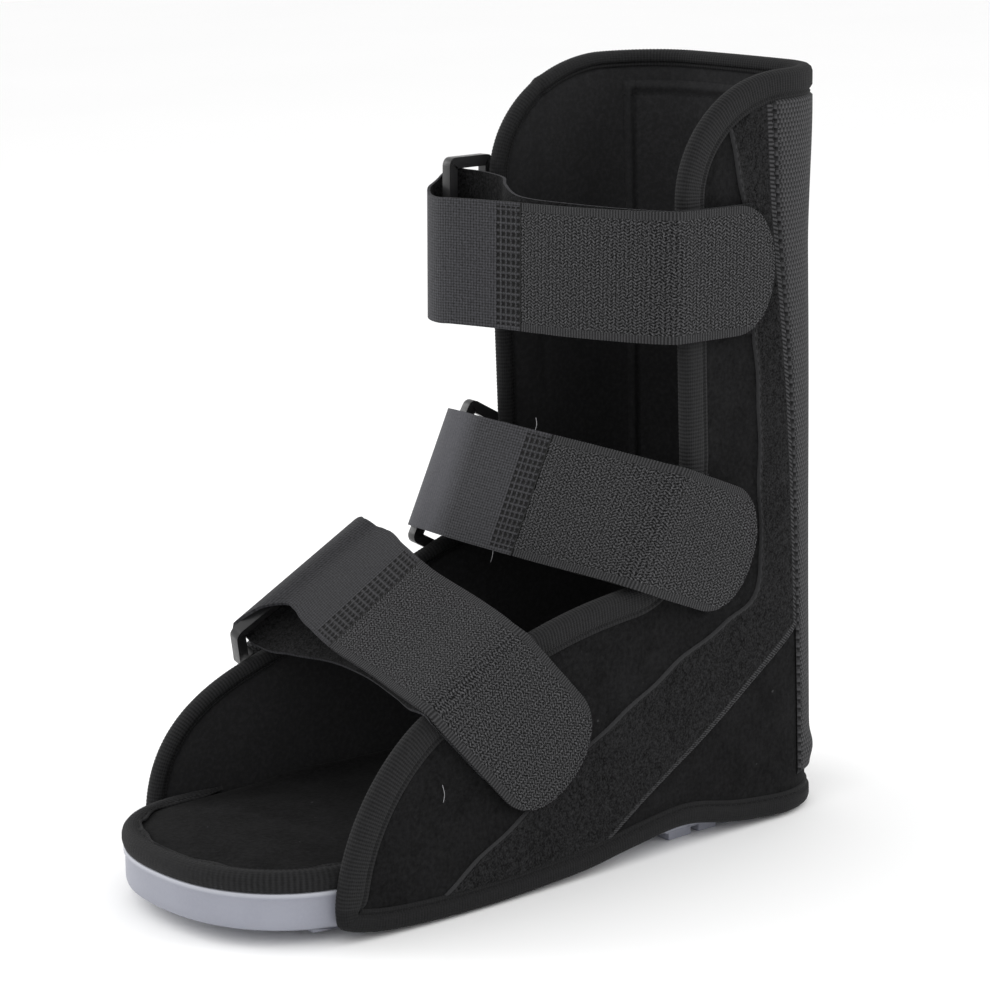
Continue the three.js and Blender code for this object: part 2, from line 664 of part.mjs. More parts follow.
addPiece('sole', makeSole(), 'sole');
addPiece('footbed', geometryOf(layer(TAPE + GAP, GAP, GAP + PAD)), 'felt');
addPiece('footbed_binding', makePadTape(), 'tape');
addPiece('upper', geometryOf(ring(0, -WALL).intersect(wallBlock)), 'felt');
addPiece('upper_binding', makeUpperBinding(), 'tape');
addPiece('loop_strip_left', makeLoopStrip(0, HALF_SPAN), 'loop');
addPiece('loop_strip_right', makeLoopStrip(-HALF_SPAN, 0), 'loop');
addPiece('back_webbing', makeBackWebbing(), 'webbing');
addPiece('stay_pocket', makeStayPocket(), 'felt');
for (const strap of STRAPS) {
  addPiece(`ring_${strap.name}`, makeRing(strap), 'ring');
  addPiece(`ring_tab_${strap.name}`, makeRingTab(strap), 'webbing');
  addStrap(strap);
}

export default shoe;
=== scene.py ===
"""Looks of the ankle fixation shoe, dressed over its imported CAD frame.

Soft pieces are flat-cut sheets wrapped on the wall's plan; the sole and the rings are modelled with mesh
operators. Lengths in this file are millimetres until a mesh is made; Blender's units are metres.
"""

import logging
import math
from abc import ABC, abstractmethod
from contextlib import contextmanager
from dataclasses import dataclass, field, replace
from enum import Enum
from typing import Callable, Iterator, Optional, Sequence, Union

import bmesh
import bpy
import numpy as np
from mathutils import Matrix, Vector


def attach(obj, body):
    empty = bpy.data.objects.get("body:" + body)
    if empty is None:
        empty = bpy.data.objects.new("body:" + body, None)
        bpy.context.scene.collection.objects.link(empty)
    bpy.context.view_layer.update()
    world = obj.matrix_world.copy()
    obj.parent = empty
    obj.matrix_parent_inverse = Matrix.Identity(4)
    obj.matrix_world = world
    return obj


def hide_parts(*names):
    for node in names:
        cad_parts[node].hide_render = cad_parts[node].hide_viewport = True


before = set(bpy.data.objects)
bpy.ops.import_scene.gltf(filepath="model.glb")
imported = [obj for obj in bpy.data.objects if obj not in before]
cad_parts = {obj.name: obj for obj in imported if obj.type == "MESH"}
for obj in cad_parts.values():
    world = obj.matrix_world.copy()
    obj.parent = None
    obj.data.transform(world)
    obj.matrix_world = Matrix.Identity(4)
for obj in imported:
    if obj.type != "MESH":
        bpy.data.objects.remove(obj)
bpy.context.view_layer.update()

LOG = logging.getLogger("ankle_fixation_shoe")
MM = 0.001  # metres in a millimetre
GAP = 0.3  # clearance between pieces
WALL = 3.4  # thickness of the felt wall
TAPE = 0.9  # thickness of the binding tape
RING_PITCH = 20.6  # between the middles of a ring's two bars
TAB_LAYER = 1.1  # thickness of a ring tab's webbing
TAB_EYE = 3.1  # radius of the eye that a ring tab makes round its bar
NOWHERE = -99.0  # a place that no cloth reaches
TINY = 1e-9  # keeps a division away from zero
Array = np.ndarray
Socket = Union[bpy.types.NodeSocket, float]
Materials = Union[bpy.types.Material, Sequence[bpy.types.Material]]


class Side(Enum):
    """One side wall of the shoe."""

    LEFT = 1
    RIGHT = -1


class Hold(Enum):
    """How a sheet is held in its shape."""

    LAID = "laid"
    FOLDED = "folded"


class Slot(Enum):
    """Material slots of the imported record."""

    FELT = "felt"
    TAPE = "tape"
    LOOP = "loop"
    TAPE_BACK = "tape_back"
    WEBBING = "webbing"
    HOOK = "hook"
    RING = "ring"
    SOLE = "sole"


# ---------------------------------------------------------------- curves


def catmull(rows: Sequence[Sequence[float]], steps: int) -> Array:
    """Smooth curve through rows of points.

    Args:
        rows: The points.
        steps: How many pieces the curve is cut into.

    Returns:
        The points on the curve, one row each.
    """
    points = np.array(rows, float)
    count = len(points)
    place = np.linspace(0, count - 1, steps + 1)
    i = np.minimum(place.astype(int), count - 2)
    w = (place - i)[:, None]
    before, start = points[np.maximum(i - 1, 0)], points[i]
    end, after = points[i + 1], points[np.minimum(i + 2, count - 1)]
    v0, v1 = (end - before) / 2, (after - start) / 2
    return (
        (2 * start - 2 * end + v0 + v1) * w**3
        + (-3 * start + 3 * end - 2 * v0 - v1) * w**2 + v0 * w + start
    )


def bezier(controls: Sequence[Sequence[float]], steps: int) -> Array:
    """Bezier curve of any order.

    Args:
        controls: Its control points.
        steps: How many pieces it is cut into.

    Returns:
        The points on the curve.
    """
    t = np.linspace(0, 1, steps + 1)[:, None]
    level = [np.array(point, float) + 0 * t for point in controls]
    while len(level) > 1:
        level = [a * (1 - t) + b * t for a, b in zip(level, level[1:])]
    return level[0]


def lengths(line: Array) -> Array:
    """Distance along a polyline at each of its points."""
    return np.concatenate([[0], np.cumsum(np.linalg.norm(np.diff(line, axis=0), axis=1))])


def resampled(line: Array, step: float) -> Array:
    """A polyline again with even spacing.

    Args:
        line: Its points.
        step: About the spacing wanted.

    Returns:
        The new points.
    """
    along = lengths(line)
    at = np.linspace(0, along[-1], max(2, round(along[-1] / step) + 1))
    return sampled(at, along, line)


def sampled(at: Array, along: Array, values: Array) -> Array:
    """Values of a line's points at other places along it.

    Args:
        at: The places.
        along: Distance of each point along the line.
        values: One row for each point.

    Returns:
        One row for each place.
    """
    return np.stack([np.interp(at, along, column) for column in values.T], axis=-1)


def tangents(line: Array) -> Array:
    """Unit directions along a polyline."""
    way = np.gradient(line, axis=0)
    return way / np.maximum(np.linalg.norm(way, axis=1, keepdims=True), TINY)


def smoothstep(low: float, high: float, value: Array) -> Array:
    """Eased 0 to 1 rise between two values."""
    t = np.clip((value - low) / (high - low), 0, 1)
    return t * t * (3 - 2 * t)


def both_ends(low: float, high: float, along: Array, total: float) -> Array:
    """Eased 0 to 1 rise from both ends of a length."""
    return smoothstep(low, high, along) * smoothstep(low, high, total - along)


def ribs(along: Array, pitch: float) -> Array:
    """Ribs from 0 to 1 along a tape, the first at its start."""
    return 0.5 + 0.5 * np.cos(2 * math.pi * along / pitch)


@dataclass(frozen=True)
class Ridge:
    """A rounded ridge along a cloth, or a groove where its height is negative."""

    height: float
    place: float
    width: float

    def at(self, value: Array) -> Array:
        """Its height at places across it."""
        return self.height * np.exp(-(((value - self.place) / self.width) ** 2))


# ---------------------------------------------------------------- mesh helpers


def select_only(obj: bpy.types.Object) -> None:
    """Makes one object the only selected and the active one.

    Args:
        obj: The object.
    """
    if bpy.context.object and bpy.context.object.mode != "OBJECT":
        bpy.ops.object.mode_set(mode="OBJECT")
    bpy.ops.object.select_all(action="DESELECT")
    obj.select_set(True)
    bpy.context.view_layer.objects.active = obj


@contextmanager
def editing(obj: bpy.types.Object) -> Iterator[None]:
    """Holds an object open in edit mode, at first with all of it selected.

    Args:
        obj: The object.

    Returns:
        The context, for a with statement.
    """
    select_only(obj)
    bpy.ops.object.mode_set(mode="EDIT")
    bpy.ops.mesh.select_all(action="SELECT")
    yield
    bpy.ops.object.mode_set(mode="OBJECT")


def linked(name: str, data: bpy.types.ID) -> bpy.types.Object:
    """Puts a new object in the scene.

    Args:
        name: Its name.
        data: Its mesh, curve, light or camera.

    Returns:
        The object.
    """
    obj = bpy.data.objects.new(name, data)
    bpy.context.scene.collection.objects.link(obj)
    return obj


def modify(obj: bpy.types.Object, kind: str, **settings: object) -> None:
    """Adds a modifier and applies it.

    Args:
        obj: The object.
        kind: The modifier's type.
        settings: Its properties.
    """
    select_only(obj)
    modifier = obj.modifiers.new(kind.lower(), kind)
    for name, value in settings.items():
        setattr(modifier, name, value)
    bpy.ops.object.modifier_apply(modifier=modifier.name)


def cleaned(obj: bpy.types.Object, smooth_deg: Optional[float] = None) -> bpy.types.Object:
    """Merges doubles, turns normals outwards and shades the object smooth.

    Args:
        obj: The object.
        smooth_deg: Edges sharper than this stay sharp; none when left out.

    Returns:
        The same object.
    """
    with editing(obj):
        bpy.ops.mesh.remove_doubles(threshold=1e-6)
        bpy.ops.mesh.normals_make_consistent(inside=False)
    if smooth_deg is None:
        bpy.ops.object.shade_smooth()
    else:
        bpy.ops.object.shade_smooth_by_angle(angle=math.radians(smooth_deg))
    return obj


def sheet_object(
    name: str, points: Array, flat: Array, keep: Optional[Array] = None,
) -> bpy.types.Object:
    """A sheet of quads from a grid of points, with its flat pattern as UV map.

    Args:
        name: The piece's name.
        points: Grid of places, rows by columns by 3.
        flat: Grid of flat-pattern places, rows by columns by 2.
        keep: Which cells are kept; all when left out.

    Returns:
        The new object.
    """
    rows, columns = points.shape[:2]
    index = np.arange(rows * columns).reshape(rows, columns)
    quads = np.stack([index[:-1, :-1], index[1:, :-1], index[1:, 1:], index[:-1, 1:]], axis=-1)
    quads = quads.reshape(-1, 4) if keep is None else quads[keep]
    used, quads = np.unique(quads, return_inverse=True)
    quads = quads.reshape(-1, 4)
    mesh = bpy.data.meshes.new(name)
    mesh.from_pydata((points.reshape(-1, 3)[used] * MM).tolist(), [], quads.tolist())
    layer = mesh.uv_layers.new(name="flat")
    layer.data.foreach_set("uv", flat.reshape(-1, 2)[used][quads.ravel()].astype(np.float32).ravel())
    obj = linked(name, mesh)
    select_only(obj)
    bpy.ops.object.shade_smooth()
    return obj


def places(obj: bpy.types.Object) -> Array:
    """The places of a mesh's points.

    Args:
        obj: The object.

    Returns:
        One row for each point, in metres.
    """
    flat = np.zeros(len(obj.data.vertices) * 3, np.float32)
    obj.data.vertices.foreach_get("co", flat)
    return flat.reshape(-1, 3)


def pattern_of(across: Array, along: Array) -> Array:
    """Flat places of a grid.

    Args:
        across: Distances across the cloth.
        along: Distances along it.

    Returns:
        The places as (across, along).
    """
    return np.stack(np.broadcast_arrays(across, along), axis=-1)


def mark(obj: bpy.types.Object, name: str, values: Array) -> None:
    """Stores one number at each point of a piece, for its finish to read.

    Args:
        obj: The piece; a sheet has all its cells kept.
        name: The attribute's name.
        values: The numbers in the order of the points.
    """
    layer = obj.data.attributes.new(name, "FLOAT", "POINT")
    layer.data.foreach_set("value", values.astype(np.float32).ravel())


def joined(name: str, objects: Sequence[bpy.types.Object]) -> bpy.types.Object:
    """Joins objects into one.

    Args:
        name: The new name.
        objects: What is joined.

    Returns:
        The joined object.
    """
    select_only(objects[0])
    for obj in objects:
        obj.select_set(True)
    if len(objects) > 1:
        bpy.ops.object.join()
    objects[0].name = name
    return objects[0]


def close_holes(obj: bpy.types.Object) -> None:
    """Closes the open loops of a mesh with flat faces.

    Args:
        obj: The object.
    """
    work = bmesh.new()
    work.from_mesh(obj.data)
    bmesh.ops.holes_fill(work, edges=[e for e in work.edges if e.is_boundary], sides=0)
    work.to_mesh(obj.data)
    work.free()


@dataclass(frozen=True)
class Cut:
    """The flat size that a sheet was cut to, in metres."""

    width: float
    length: float
    area: float

    @classmethod
    def of(cls, flat: Array) -> "Cut":
        """Measures a flat pattern.

        Args:
            flat: Grid of flat-pattern places in millimetres, rows by columns by 2.

        Returns:
            The pattern's extent across and along, and its area.
        """
        one, other = flat[1:, 1:] - flat[:-1, :-1], flat[:-1, 1:] - flat[1:, :-1]
        area = np.abs(one[..., 0] * other[..., 1] - one[..., 1] * other[..., 0]).sum() / 2
        span = np.ptp(flat.reshape(-1, 2), axis=0)
        return cls(float(span[0]) * MM, float(span[1]) * MM, float(area) * MM * MM)

    def declare(self, obj: bpy.types.Object, held: Hold, rests_on: str) -> None:
        """Meant to declare a piece as a sheet of this size; it does nothing.

        Args:
            obj: The piece; not used.
            held: How it is held in its shape; not used.
            rests_on: The piece that it lies on; not used.
        """


def two_faced(obj: bpy.types.Object) -> None:
    """Gives a piece two empty material numbers, one for each of its cloths."""
    for _ in range(2):
        obj.data.materials.append(None)


def dressed(obj: bpy.types.Object, material: Materials, slot: Slot, *nodes: str) -> bpy.types.Object:
    """Gives a piece its finish, its body and the CAD nodes it stands for.

    Args:
        obj: The piece.
        material: Its finish, or one for each of its material numbers.
        slot: The record's slot; not used.
        nodes: CAD nodes that it replaces.

    Returns:
        The same piece.
    """
    numbers = np.zeros(len(obj.data.polygons), np.int32)
    obj.data.polygons.foreach_get("material_index", numbers)
    obj.data.materials.clear()
    for one in [material] if isinstance(material, bpy.types.Material) else material:
        obj.data.materials.append(one)
    obj.data.polygons.foreach_set("material_index", numbers)
    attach(obj, "root")
    if nodes:
        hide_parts(*nodes)
    LOG.info("piece %s: %d faces, replaces %s", obj.name, len(obj.data.polygons), nodes or "nothing")
    return obj


def tailored(
    made: tuple[bpy.types.Object, Cut], material: Materials, slot: Slot, node: str, held: Hold,
    rests_on: str,
) -> None:
    """Dresses a sheet and passes its cut to Cut.declare, which does nothing.

    Args:
        made: The sheet and its cut size.
        material: Its finish, or one for each of its material numbers.
        slot: The record's slot.
        node: The CAD node that it replaces.
        held: How it is held in its shape.
        rests_on: The piece that it lies on.
    """
    obj, cut = made
    dressed(obj, material, slot, node)
    cut.declare(obj, held, rests_on)


# ---------------------------------------------------------------- finishes


class Graph:
    """A material's node tree with short ways to add nodes."""

    def __init__(self, name: str) -> None:
        """Makes an empty material with one Principled shader.

        Args:
            name: The material's name.
        """
        self.material = bpy.data.materials.new(name)
        self.material.use_nodes = True
        self.tree = self.material.node_tree
        self.shader = next(n for n in self.tree.nodes if n.type == "BSDF_PRINCIPLED")
        self.coords = self.tree.nodes.new("ShaderNodeTexCoord")

    def put(self, socket: bpy.types.NodeSocket, value: object) -> None:
        """Links a socket, or sets its value.

        Args:
            socket: The input.
            value: An output to link, or a plain value.
        """
        if isinstance(value, bpy.types.NodeSocket):
            self.tree.links.new(value, socket)
        else:
            socket.default_value = value

    def node(self, kind: str, inputs: dict, **settings: object) -> bpy.types.Node:
        """Adds a node.

        Args:
            kind: Its type.
            inputs: Values or links by input name or number.
            settings: Its properties.

        Returns:
            The node.
        """
        made = self.tree.nodes.new(kind)
        for name, value in settings.items():
            setattr(made, name, value)
        for name, value in inputs.items():
            self.put(made.inputs[name], value)
        return made

    def math(self, operation: str, a: Socket, b: Socket = 0.0) -> bpy.types.NodeSocket:
        """One sum of two numbers."""
        return self.node("ShaderNodeMath", {0: a, 1: b}, operation=operation).outputs[0]

    def total(self, *terms: tuple[Socket, float]) -> bpy.types.NodeSocket:
        """Adds up values.

        Args:
            terms: Each value with its weight.

        Returns:
            Their weighted sum.
        """
        parts = [value if weight == 1 else self.math("MULTIPLY", value, weight) for value, weight in terms]
        result = parts[0]
        for part in parts[1:]:
            result = self.math("ADD", result, part)
        return result

    def noise(self, scale: float, detail: float = 3.0, where: Optional[Socket] = None,
              roughness: float = 0.5) -> bpy.types.NodeSocket:
        """Noise from 0 to 1.

        Args:
            scale: Spots for each unit of length.
            detail: How many finer layers it has.
            where: Its space; object space when left out.
            roughness: Strength of the finer layers.

        Returns:
            The noise.
        """
        place = self.coords.outputs["Object"] if where is None else where
        return self.node("ShaderNodeTexNoise", {
            "Vector": place, "Scale": scale, "Detail": detail, "Roughness": roughness,
        }).outputs[0]

    def ramp(self, value: Socket, low: float, high: float, out_low: float = 0.0,
             out_high: float = 1.0) -> bpy.types.NodeSocket:
        """Maps a range of numbers onto another, clamped.

        Args:
            value: The number.
            low: Start of its range.
            high: End of its range.
            out_low: What the start becomes.
            out_high: What the end becomes.

        Returns:
            The mapped number.
        """
        return self.node("ShaderNodeMapRange", {
            0: value, 1: low, 2: high, 3: out_low, 4: out_high,
        }, clamp=True).outputs[0]

    def mix(self, share: Socket, a: object, b: object) -> bpy.types.NodeSocket:
        """Mixes two colours.

        Args:
            share: How much of the second shows.
            a: First colour.
            b: Second colour.

        Returns:
            The mixed colour.
        """
        return self.node("ShaderNodeMix", {0: share, 6: a, 7: b}, data_type="RGBA").outputs[2]

    def flat_place(self) -> tuple[bpy.types.NodeSocket, bpy.types.NodeSocket]:
        """The flat-pattern coordinates across and along, in millimetres."""
        made = self.node("ShaderNodeSeparateXYZ", {0: self.coords.outputs["UV"]})
        return made.outputs[0], made.outputs[1]

    def wave(self, value: Socket, pitch: float, shift: Socket = 0.0) -> bpy.types.NodeSocket:
        """A 0 to 1 wave of a pitch along a coordinate."""
        turn = self.math("MULTIPLY", self.math("ADD", value, shift), 2 * math.pi / pitch)
        return self.math("ADD", self.math("MULTIPLY", self.math("SINE", turn), 0.5), 0.5)

    def phase(self, value: Socket, pitch: float) -> bpy.types.NodeSocket:
        """Place within each repeat of a pitch, from -0.5 to 0.5."""
        return self.math("SUBTRACT", self.math("FRACT", self.math("DIVIDE", value, pitch)), 0.5)

    def bump(self, height: Socket, strength: float, depth_mm: float) -> None:
        """Sets the shader's bumps.

        Args:
            height: Height from 0 to 1.
            strength: How strongly they show.
            depth_mm: Height of the full bump.
        """
        made = self.node("ShaderNodeBump", {
            "Height": height, "Strength": strength, "Distance": depth_mm * MM,
        })
        self.put(self.shader.inputs["Normal"], made.outputs[0])

    def shade(self, color: object, roughness: Socket, sheen: float = 0.0, specular: float = 0.3) -> None:
        """Sets the main sockets of the shader.

        Args:
            color: Base colour.
            roughness: Roughness.
            sheen: Weight of the cloth sheen.
            specular: Specular level.
        """
        self.put(self.shader.inputs["Base Color"], color)
        self.put(self.shader.inputs["Roughness"], roughness)
        self.put(self.shader.inputs["Specular IOR Level"], specular)
        self.put(self.shader.inputs["Sheen Weight"], sheen)
        self.put(self.shader.inputs["Sheen Roughness"], 0.5)


def grey(level: float, blue: float = 1.04) -> tuple[float, float, float, float]:
    """A nearly neutral colour of a linear level."""
    return (level, level, level * blue, 1.0)


@dataclass(frozen=True)
class Finish(ABC):
    """What a cloth, plastic or foam looks like."""

    name: str

    def material(self) -> bpy.types.Material:
        """Builds the material.

        Returns:
            The material with this finish.
        """
        g = Graph(self.name)
        self.paint(g)
        return g.material

    @abstractmethod
    def paint(self, g: Graph) -> None:
        """Sets the material's nodes.

        Args:
            g: The material.
        """


@dataclass(frozen=True)
class FeltFinish(Finish):
    """Short dense felt with fine mottling and a few specks of lint."""

    dark: float = 0.0034
    light: float = 0.0116
    lint: float = 0.6
    clouding: float = 0.35

    def paint(self, g: Graph) -> None:
        """Sets the material's nodes.

        Args:
            g: The material.
        """
        fibre = g.noise(560, 4, roughness=0.7)
        cloud = g.noise(70, 3)
        tone = g.total((fibre, 0.75), (cloud, self.clouding))
        color = g.mix(g.ramp(tone, 0.38, 0.72), grey(self.dark), grey(self.light))
        speck = g.ramp(g.noise(420, 1.0, roughness=0.3), 0.80, 0.83, 0, self.lint)
        g.shade(g.mix(speck, color, grey(0.05)), 1.0, 0.02, 0.06)
        g.bump(fibre, 0.5, 0.3)


@dataclass(frozen=True)
class RibTapeFinish(Finish):
    """Narrow tape with ribs across it; v runs along the tape in the flat pattern."""

    dark: float = 0.0065
    light: float = 0.0195
    pitch: float = 1.45
    contrast: float = 0.5

    def paint(self, g: Graph) -> None:
        """Sets the material's nodes.

        Args:
            g: The material.
        """
        u, v = g.flat_place()
        rib = g.wave(v, self.pitch)
        thread = g.wave(u, 0.9)
        fuzz = g.noise(800, 3)
        tone = g.total((rib, self.contrast), (fuzz, 0.65), (thread, 0.15))
        color = g.mix(g.ramp(tone, 0.2, 1.0), grey(self.dark), grey(self.light))
        g.shade(color, 0.85, 0.02, 0.12)
        g.bump(g.total((thread, 0.5), (fuzz, 0.7)), 0.6, 0.25)


@dataclass(frozen=True)
class PileFinish(Finish):
    """Brushed loop pile between a thin ridge at u = 0 and a ribbed selvage along its rear edge."""

    dark: float = 0.0022
    light: float = 0.0220
    selvage: float = 2.6
    ridge: float = 1.0

    def paint(self, g: Graph) -> None:
        """Sets the material's nodes.

        Args:
            g: The material.
        """
        u, v = g.flat_place()
        loops = g.noise(1150, 2, roughness=0.7)
        brush = g.noise(520, 2)
        cloud = g.noise(60, 2)
        tone = g.total((loops, 0.75), (brush, 0.35), (cloud, 0.12))
        pile = g.mix(g.ramp(tone, 0.47, 0.80), grey(self.dark), grey(self.light))
        ridge = g.ramp(u, self.ridge - 0.3, self.ridge + 0.3, 1, 0)
        rear = g.node("ShaderNodeAttribute", {}, attribute_name="from_rear").outputs["Fac"]
        rib = g.mix(g.wave(v, 1.5), grey(0.010), grey(0.058))
        edge = g.ramp(rear, self.selvage, self.selvage + 0.6, 1, 0)
        color = g.mix(ridge, g.mix(edge, pile, rib), grey(0.036))
        g.shade(color, 1.0, 0.03, 0.06)
        g.bump(g.total((loops, 1), (brush, 1)), 0.8, 0.5)


@dataclass(frozen=True)
class HookFinish(Finish):
    """Hook tape: speckled zigzag rows, the bright specks partly painted glints, between plain ribbed
    selvages; u is measured from the middle.
    """

    half: float = 25.0
    selvage: float = 3.0
    dark: float = 0.002
    light: float = 0.098
    row: float = 1.25
    zigzag: float = 3.8

    def paint(self, g: Graph) -> None:
        """Sets the material's nodes.

        Args:
            g: The material.
        """
        u, v = g.flat_place()
        zig = g.math("MULTIPLY", g.math("ABSOLUTE", g.phase(v, self.zigzag)), 2.3)
        drift = g.math("MULTIPLY", g.noise(0.12, 1, g.coords.outputs["UV"]), 1.5)
        rows = g.wave(u, self.row, g.math("ADD", zig, drift))
        columns = g.wave(v, self.zigzag / 2)
        speck = g.noise(1.35, 1, g.coords.outputs["UV"], 0.6)
        fine = g.noise(2.6, 0, g.coords.outputs["UV"])
        # The speckle is partly the hooks' own texture and partly painted glints: its bright end stands in
        # for light caught by the hooks.
        tone = g.total((rows, 0.24), (columns, 0.12), (speck, 1), (fine, 0.6))
        field_color = g.mix(g.ramp(tone, 0.85, 1.36), grey(self.dark), grey(self.light))
        rib = g.mix(g.wave(v, 1.3), grey(0.014), grey(0.050))
        edge = g.ramp(g.math("ABSOLUTE", u), self.half - self.selvage - 0.3, self.half - self.selvage)
        g.shade(g.mix(edge, field_color, rib), 0.85, 0.0, 0.12)
        g.bump(g.math("ADD", tone, g.math("MULTIPLY", g.wave(v, 1.3), edge)), 0.8, 0.45)


@dataclass(frozen=True)
class TapeBackFinish(Finish):
    """Woven back of the loop tape: slubby ribs, holes beside the seam at v = 0 and a painted sheen towards
    the fold.
    """

    half: float = 25.0
    pitch: float = 2.75
    columns: int = 5
    dark: float = 0.0025
    light: float = 0.049
    fold_sheen: float = 0.0
    fold_from: float = 40.0
    fold_to: float = 52.0

    def paint(self, g: Graph) -> None:
        """Sets the material's nodes.

        Args:
            g: The material.
        """
        u, v = g.flat_place()
        rib = g.wave(v, 1.5)
        warp = g.wave(u, 1.1)
        fuzz = g.noise(1100, 2, roughness=0.7)
        slub = g.noise(1.1, 2, g.coords.outputs["UV"], 0.6)
        tone = g.total((rib, 0.24), (warp, 0.22), (fuzz, 0.5), (slub, 0.7))
        cloth = g.mix(g.ramp(tone, 0.55, 1.13), grey(self.dark, 1.12), grey(self.light, 1.12))
        # Painted sheen: from fold_from onwards the cloth is lightened towards a pale colour, standing in
        # for light caught by the fold.
        painted_sheen = g.mix(g.ramp(fuzz, 0.2, 0.8), grey(0.046, 1.12), grey(0.078, 1.12))
        cloth = g.mix(g.ramp(v, self.fold_from, self.fold_to, 0, self.fold_sheen), cloth, painted_sheen)
        across, along = (g.math("ABSOLUTE", g.phase(place, self.pitch)) for place in (u, v))
        reach = g.math("MAXIMUM", across, along)
        inside = g.math("LESS_THAN", v, self.pitch * self.columns + 0.3)
        inside = g.math("MULTIPLY", inside, g.math("LESS_THAN", g.math("ABSOLUTE", u), self.half - 1.6))
        hole = g.math("MULTIPLY", g.ramp(reach, 0.31, 0.39, 1, 0), inside)
        cord = g.math("MULTIPLY", inside, g.ramp(reach, 0.38, 0.48))
        lit = g.mix(g.math("MULTIPLY", cord, 0.25), cloth, grey(0.048))
        stitched = g.ramp(v, 0.5, 0.9, 1, 0)
        dark = g.math("MAXIMUM", hole, stitched)
        g.shade(g.mix(dark, lit, grey(0.0015)), 0.7, 0.02, 0.16)
        g.bump(g.total((tone, 1), (cord, 1), (hole, -1.5)), 0.6, 0.3)


@dataclass(frozen=True)
class WebbingFinish(Finish):
    """Plain coarse weave."""

    pitch: float = 1.8
    dark: float = 0.012
    light: float = 0.068

    def paint(self, g: Graph) -> None:
        """Sets the material's nodes.

        Args:
            g: The material.
        """
        u, v = g.flat_place()
        pick = g.math("FLOOR", g.math("DIVIDE", v, self.pitch))
        warp = g.wave(u, self.pitch, g.math("MULTIPLY", pick, self.pitch / 2))
        weft = g.wave(v, self.pitch)
        fuzz = g.noise(800, 3)
        tone = g.total((warp, 0.5), (weft, 0.25), (fuzz, 0.4))
        color = g.mix(g.ramp(tone, 0.3, 1.0), grey(self.dark), grey(self.light))
        g.shade(color, 0.85, 0.02, 0.12)
        g.bump(tone, 0.8, 0.5)


@dataclass(frozen=True)
class PlasticFinish(Finish):
    """Moulded black plastic with a soft gloss and faint wear."""

    def paint(self, g: Graph) -> None:
        """Sets the material's nodes.

        Args:
            g: The material.
        """
        grain = g.noise(700, 3)
        cloud = g.noise(90, 2)
        color = g.mix(cloud, grey(0.010), grey(0.024))
        g.shade(color, g.ramp(grain, 0.3, 0.7, 0.30, 0.44), 0.0, 0.5)
        g.bump(grain, 0.15, 0.08)


@dataclass(frozen=True)
class FoamFinish(Finish):
    """Moulded light foam: fine grain, faint clouding and a painted highlight along the lip where marked."""

    dark: tuple[float, float, float, float] = (0.242, 0.249, 0.292, 1.0)
    light: tuple[float, float, float, float] = (0.270, 0.278, 0.324, 1.0)
    lip_highlight: tuple[float, float, float, float] = (0.40, 0.41, 0.45, 1.0)

    def paint(self, g: Graph) -> None:
        """Sets the material's nodes.

        Args:
            g: The material.
        """
        cloud = g.noise(45, 3)
        grain = g.noise(900, 2)
        tone = g.total((cloud, 0.7), (grain, 0.3))
        lip = g.node("ShaderNodeAttribute", {}, attribute_name="lip").outputs["Fac"]
        foam = g.mix(g.ramp(tone, 0.35, 0.65), self.dark, self.light)
        # The marked lip is mixed towards a pale colour: a painted highlight along the sole's top edge.
        g.shade(g.mix(lip, foam, self.lip_highlight), g.ramp(cloud, 0.3, 0.7, 0.40, 0.5), 0.0, 0.4)
        g.bump(grain, 0.2, 0.1)


@dataclass(frozen=True)
class ThreadFinish(Finish):
    """Sewing thread."""

    level: float = 0.012

    def paint(self, g: Graph) -> None:
        """Sets the material's nodes.

        Args:
            g: The material.
        """
        ply = g.noise(1800, 2)
        g.shade(g.mix(ply, grey(self.level * 0.5), grey(self.level * 1.5)), 0.7, 0.0, 0.15)


# ---------------------------------------------------------------- the wall's plan and outline


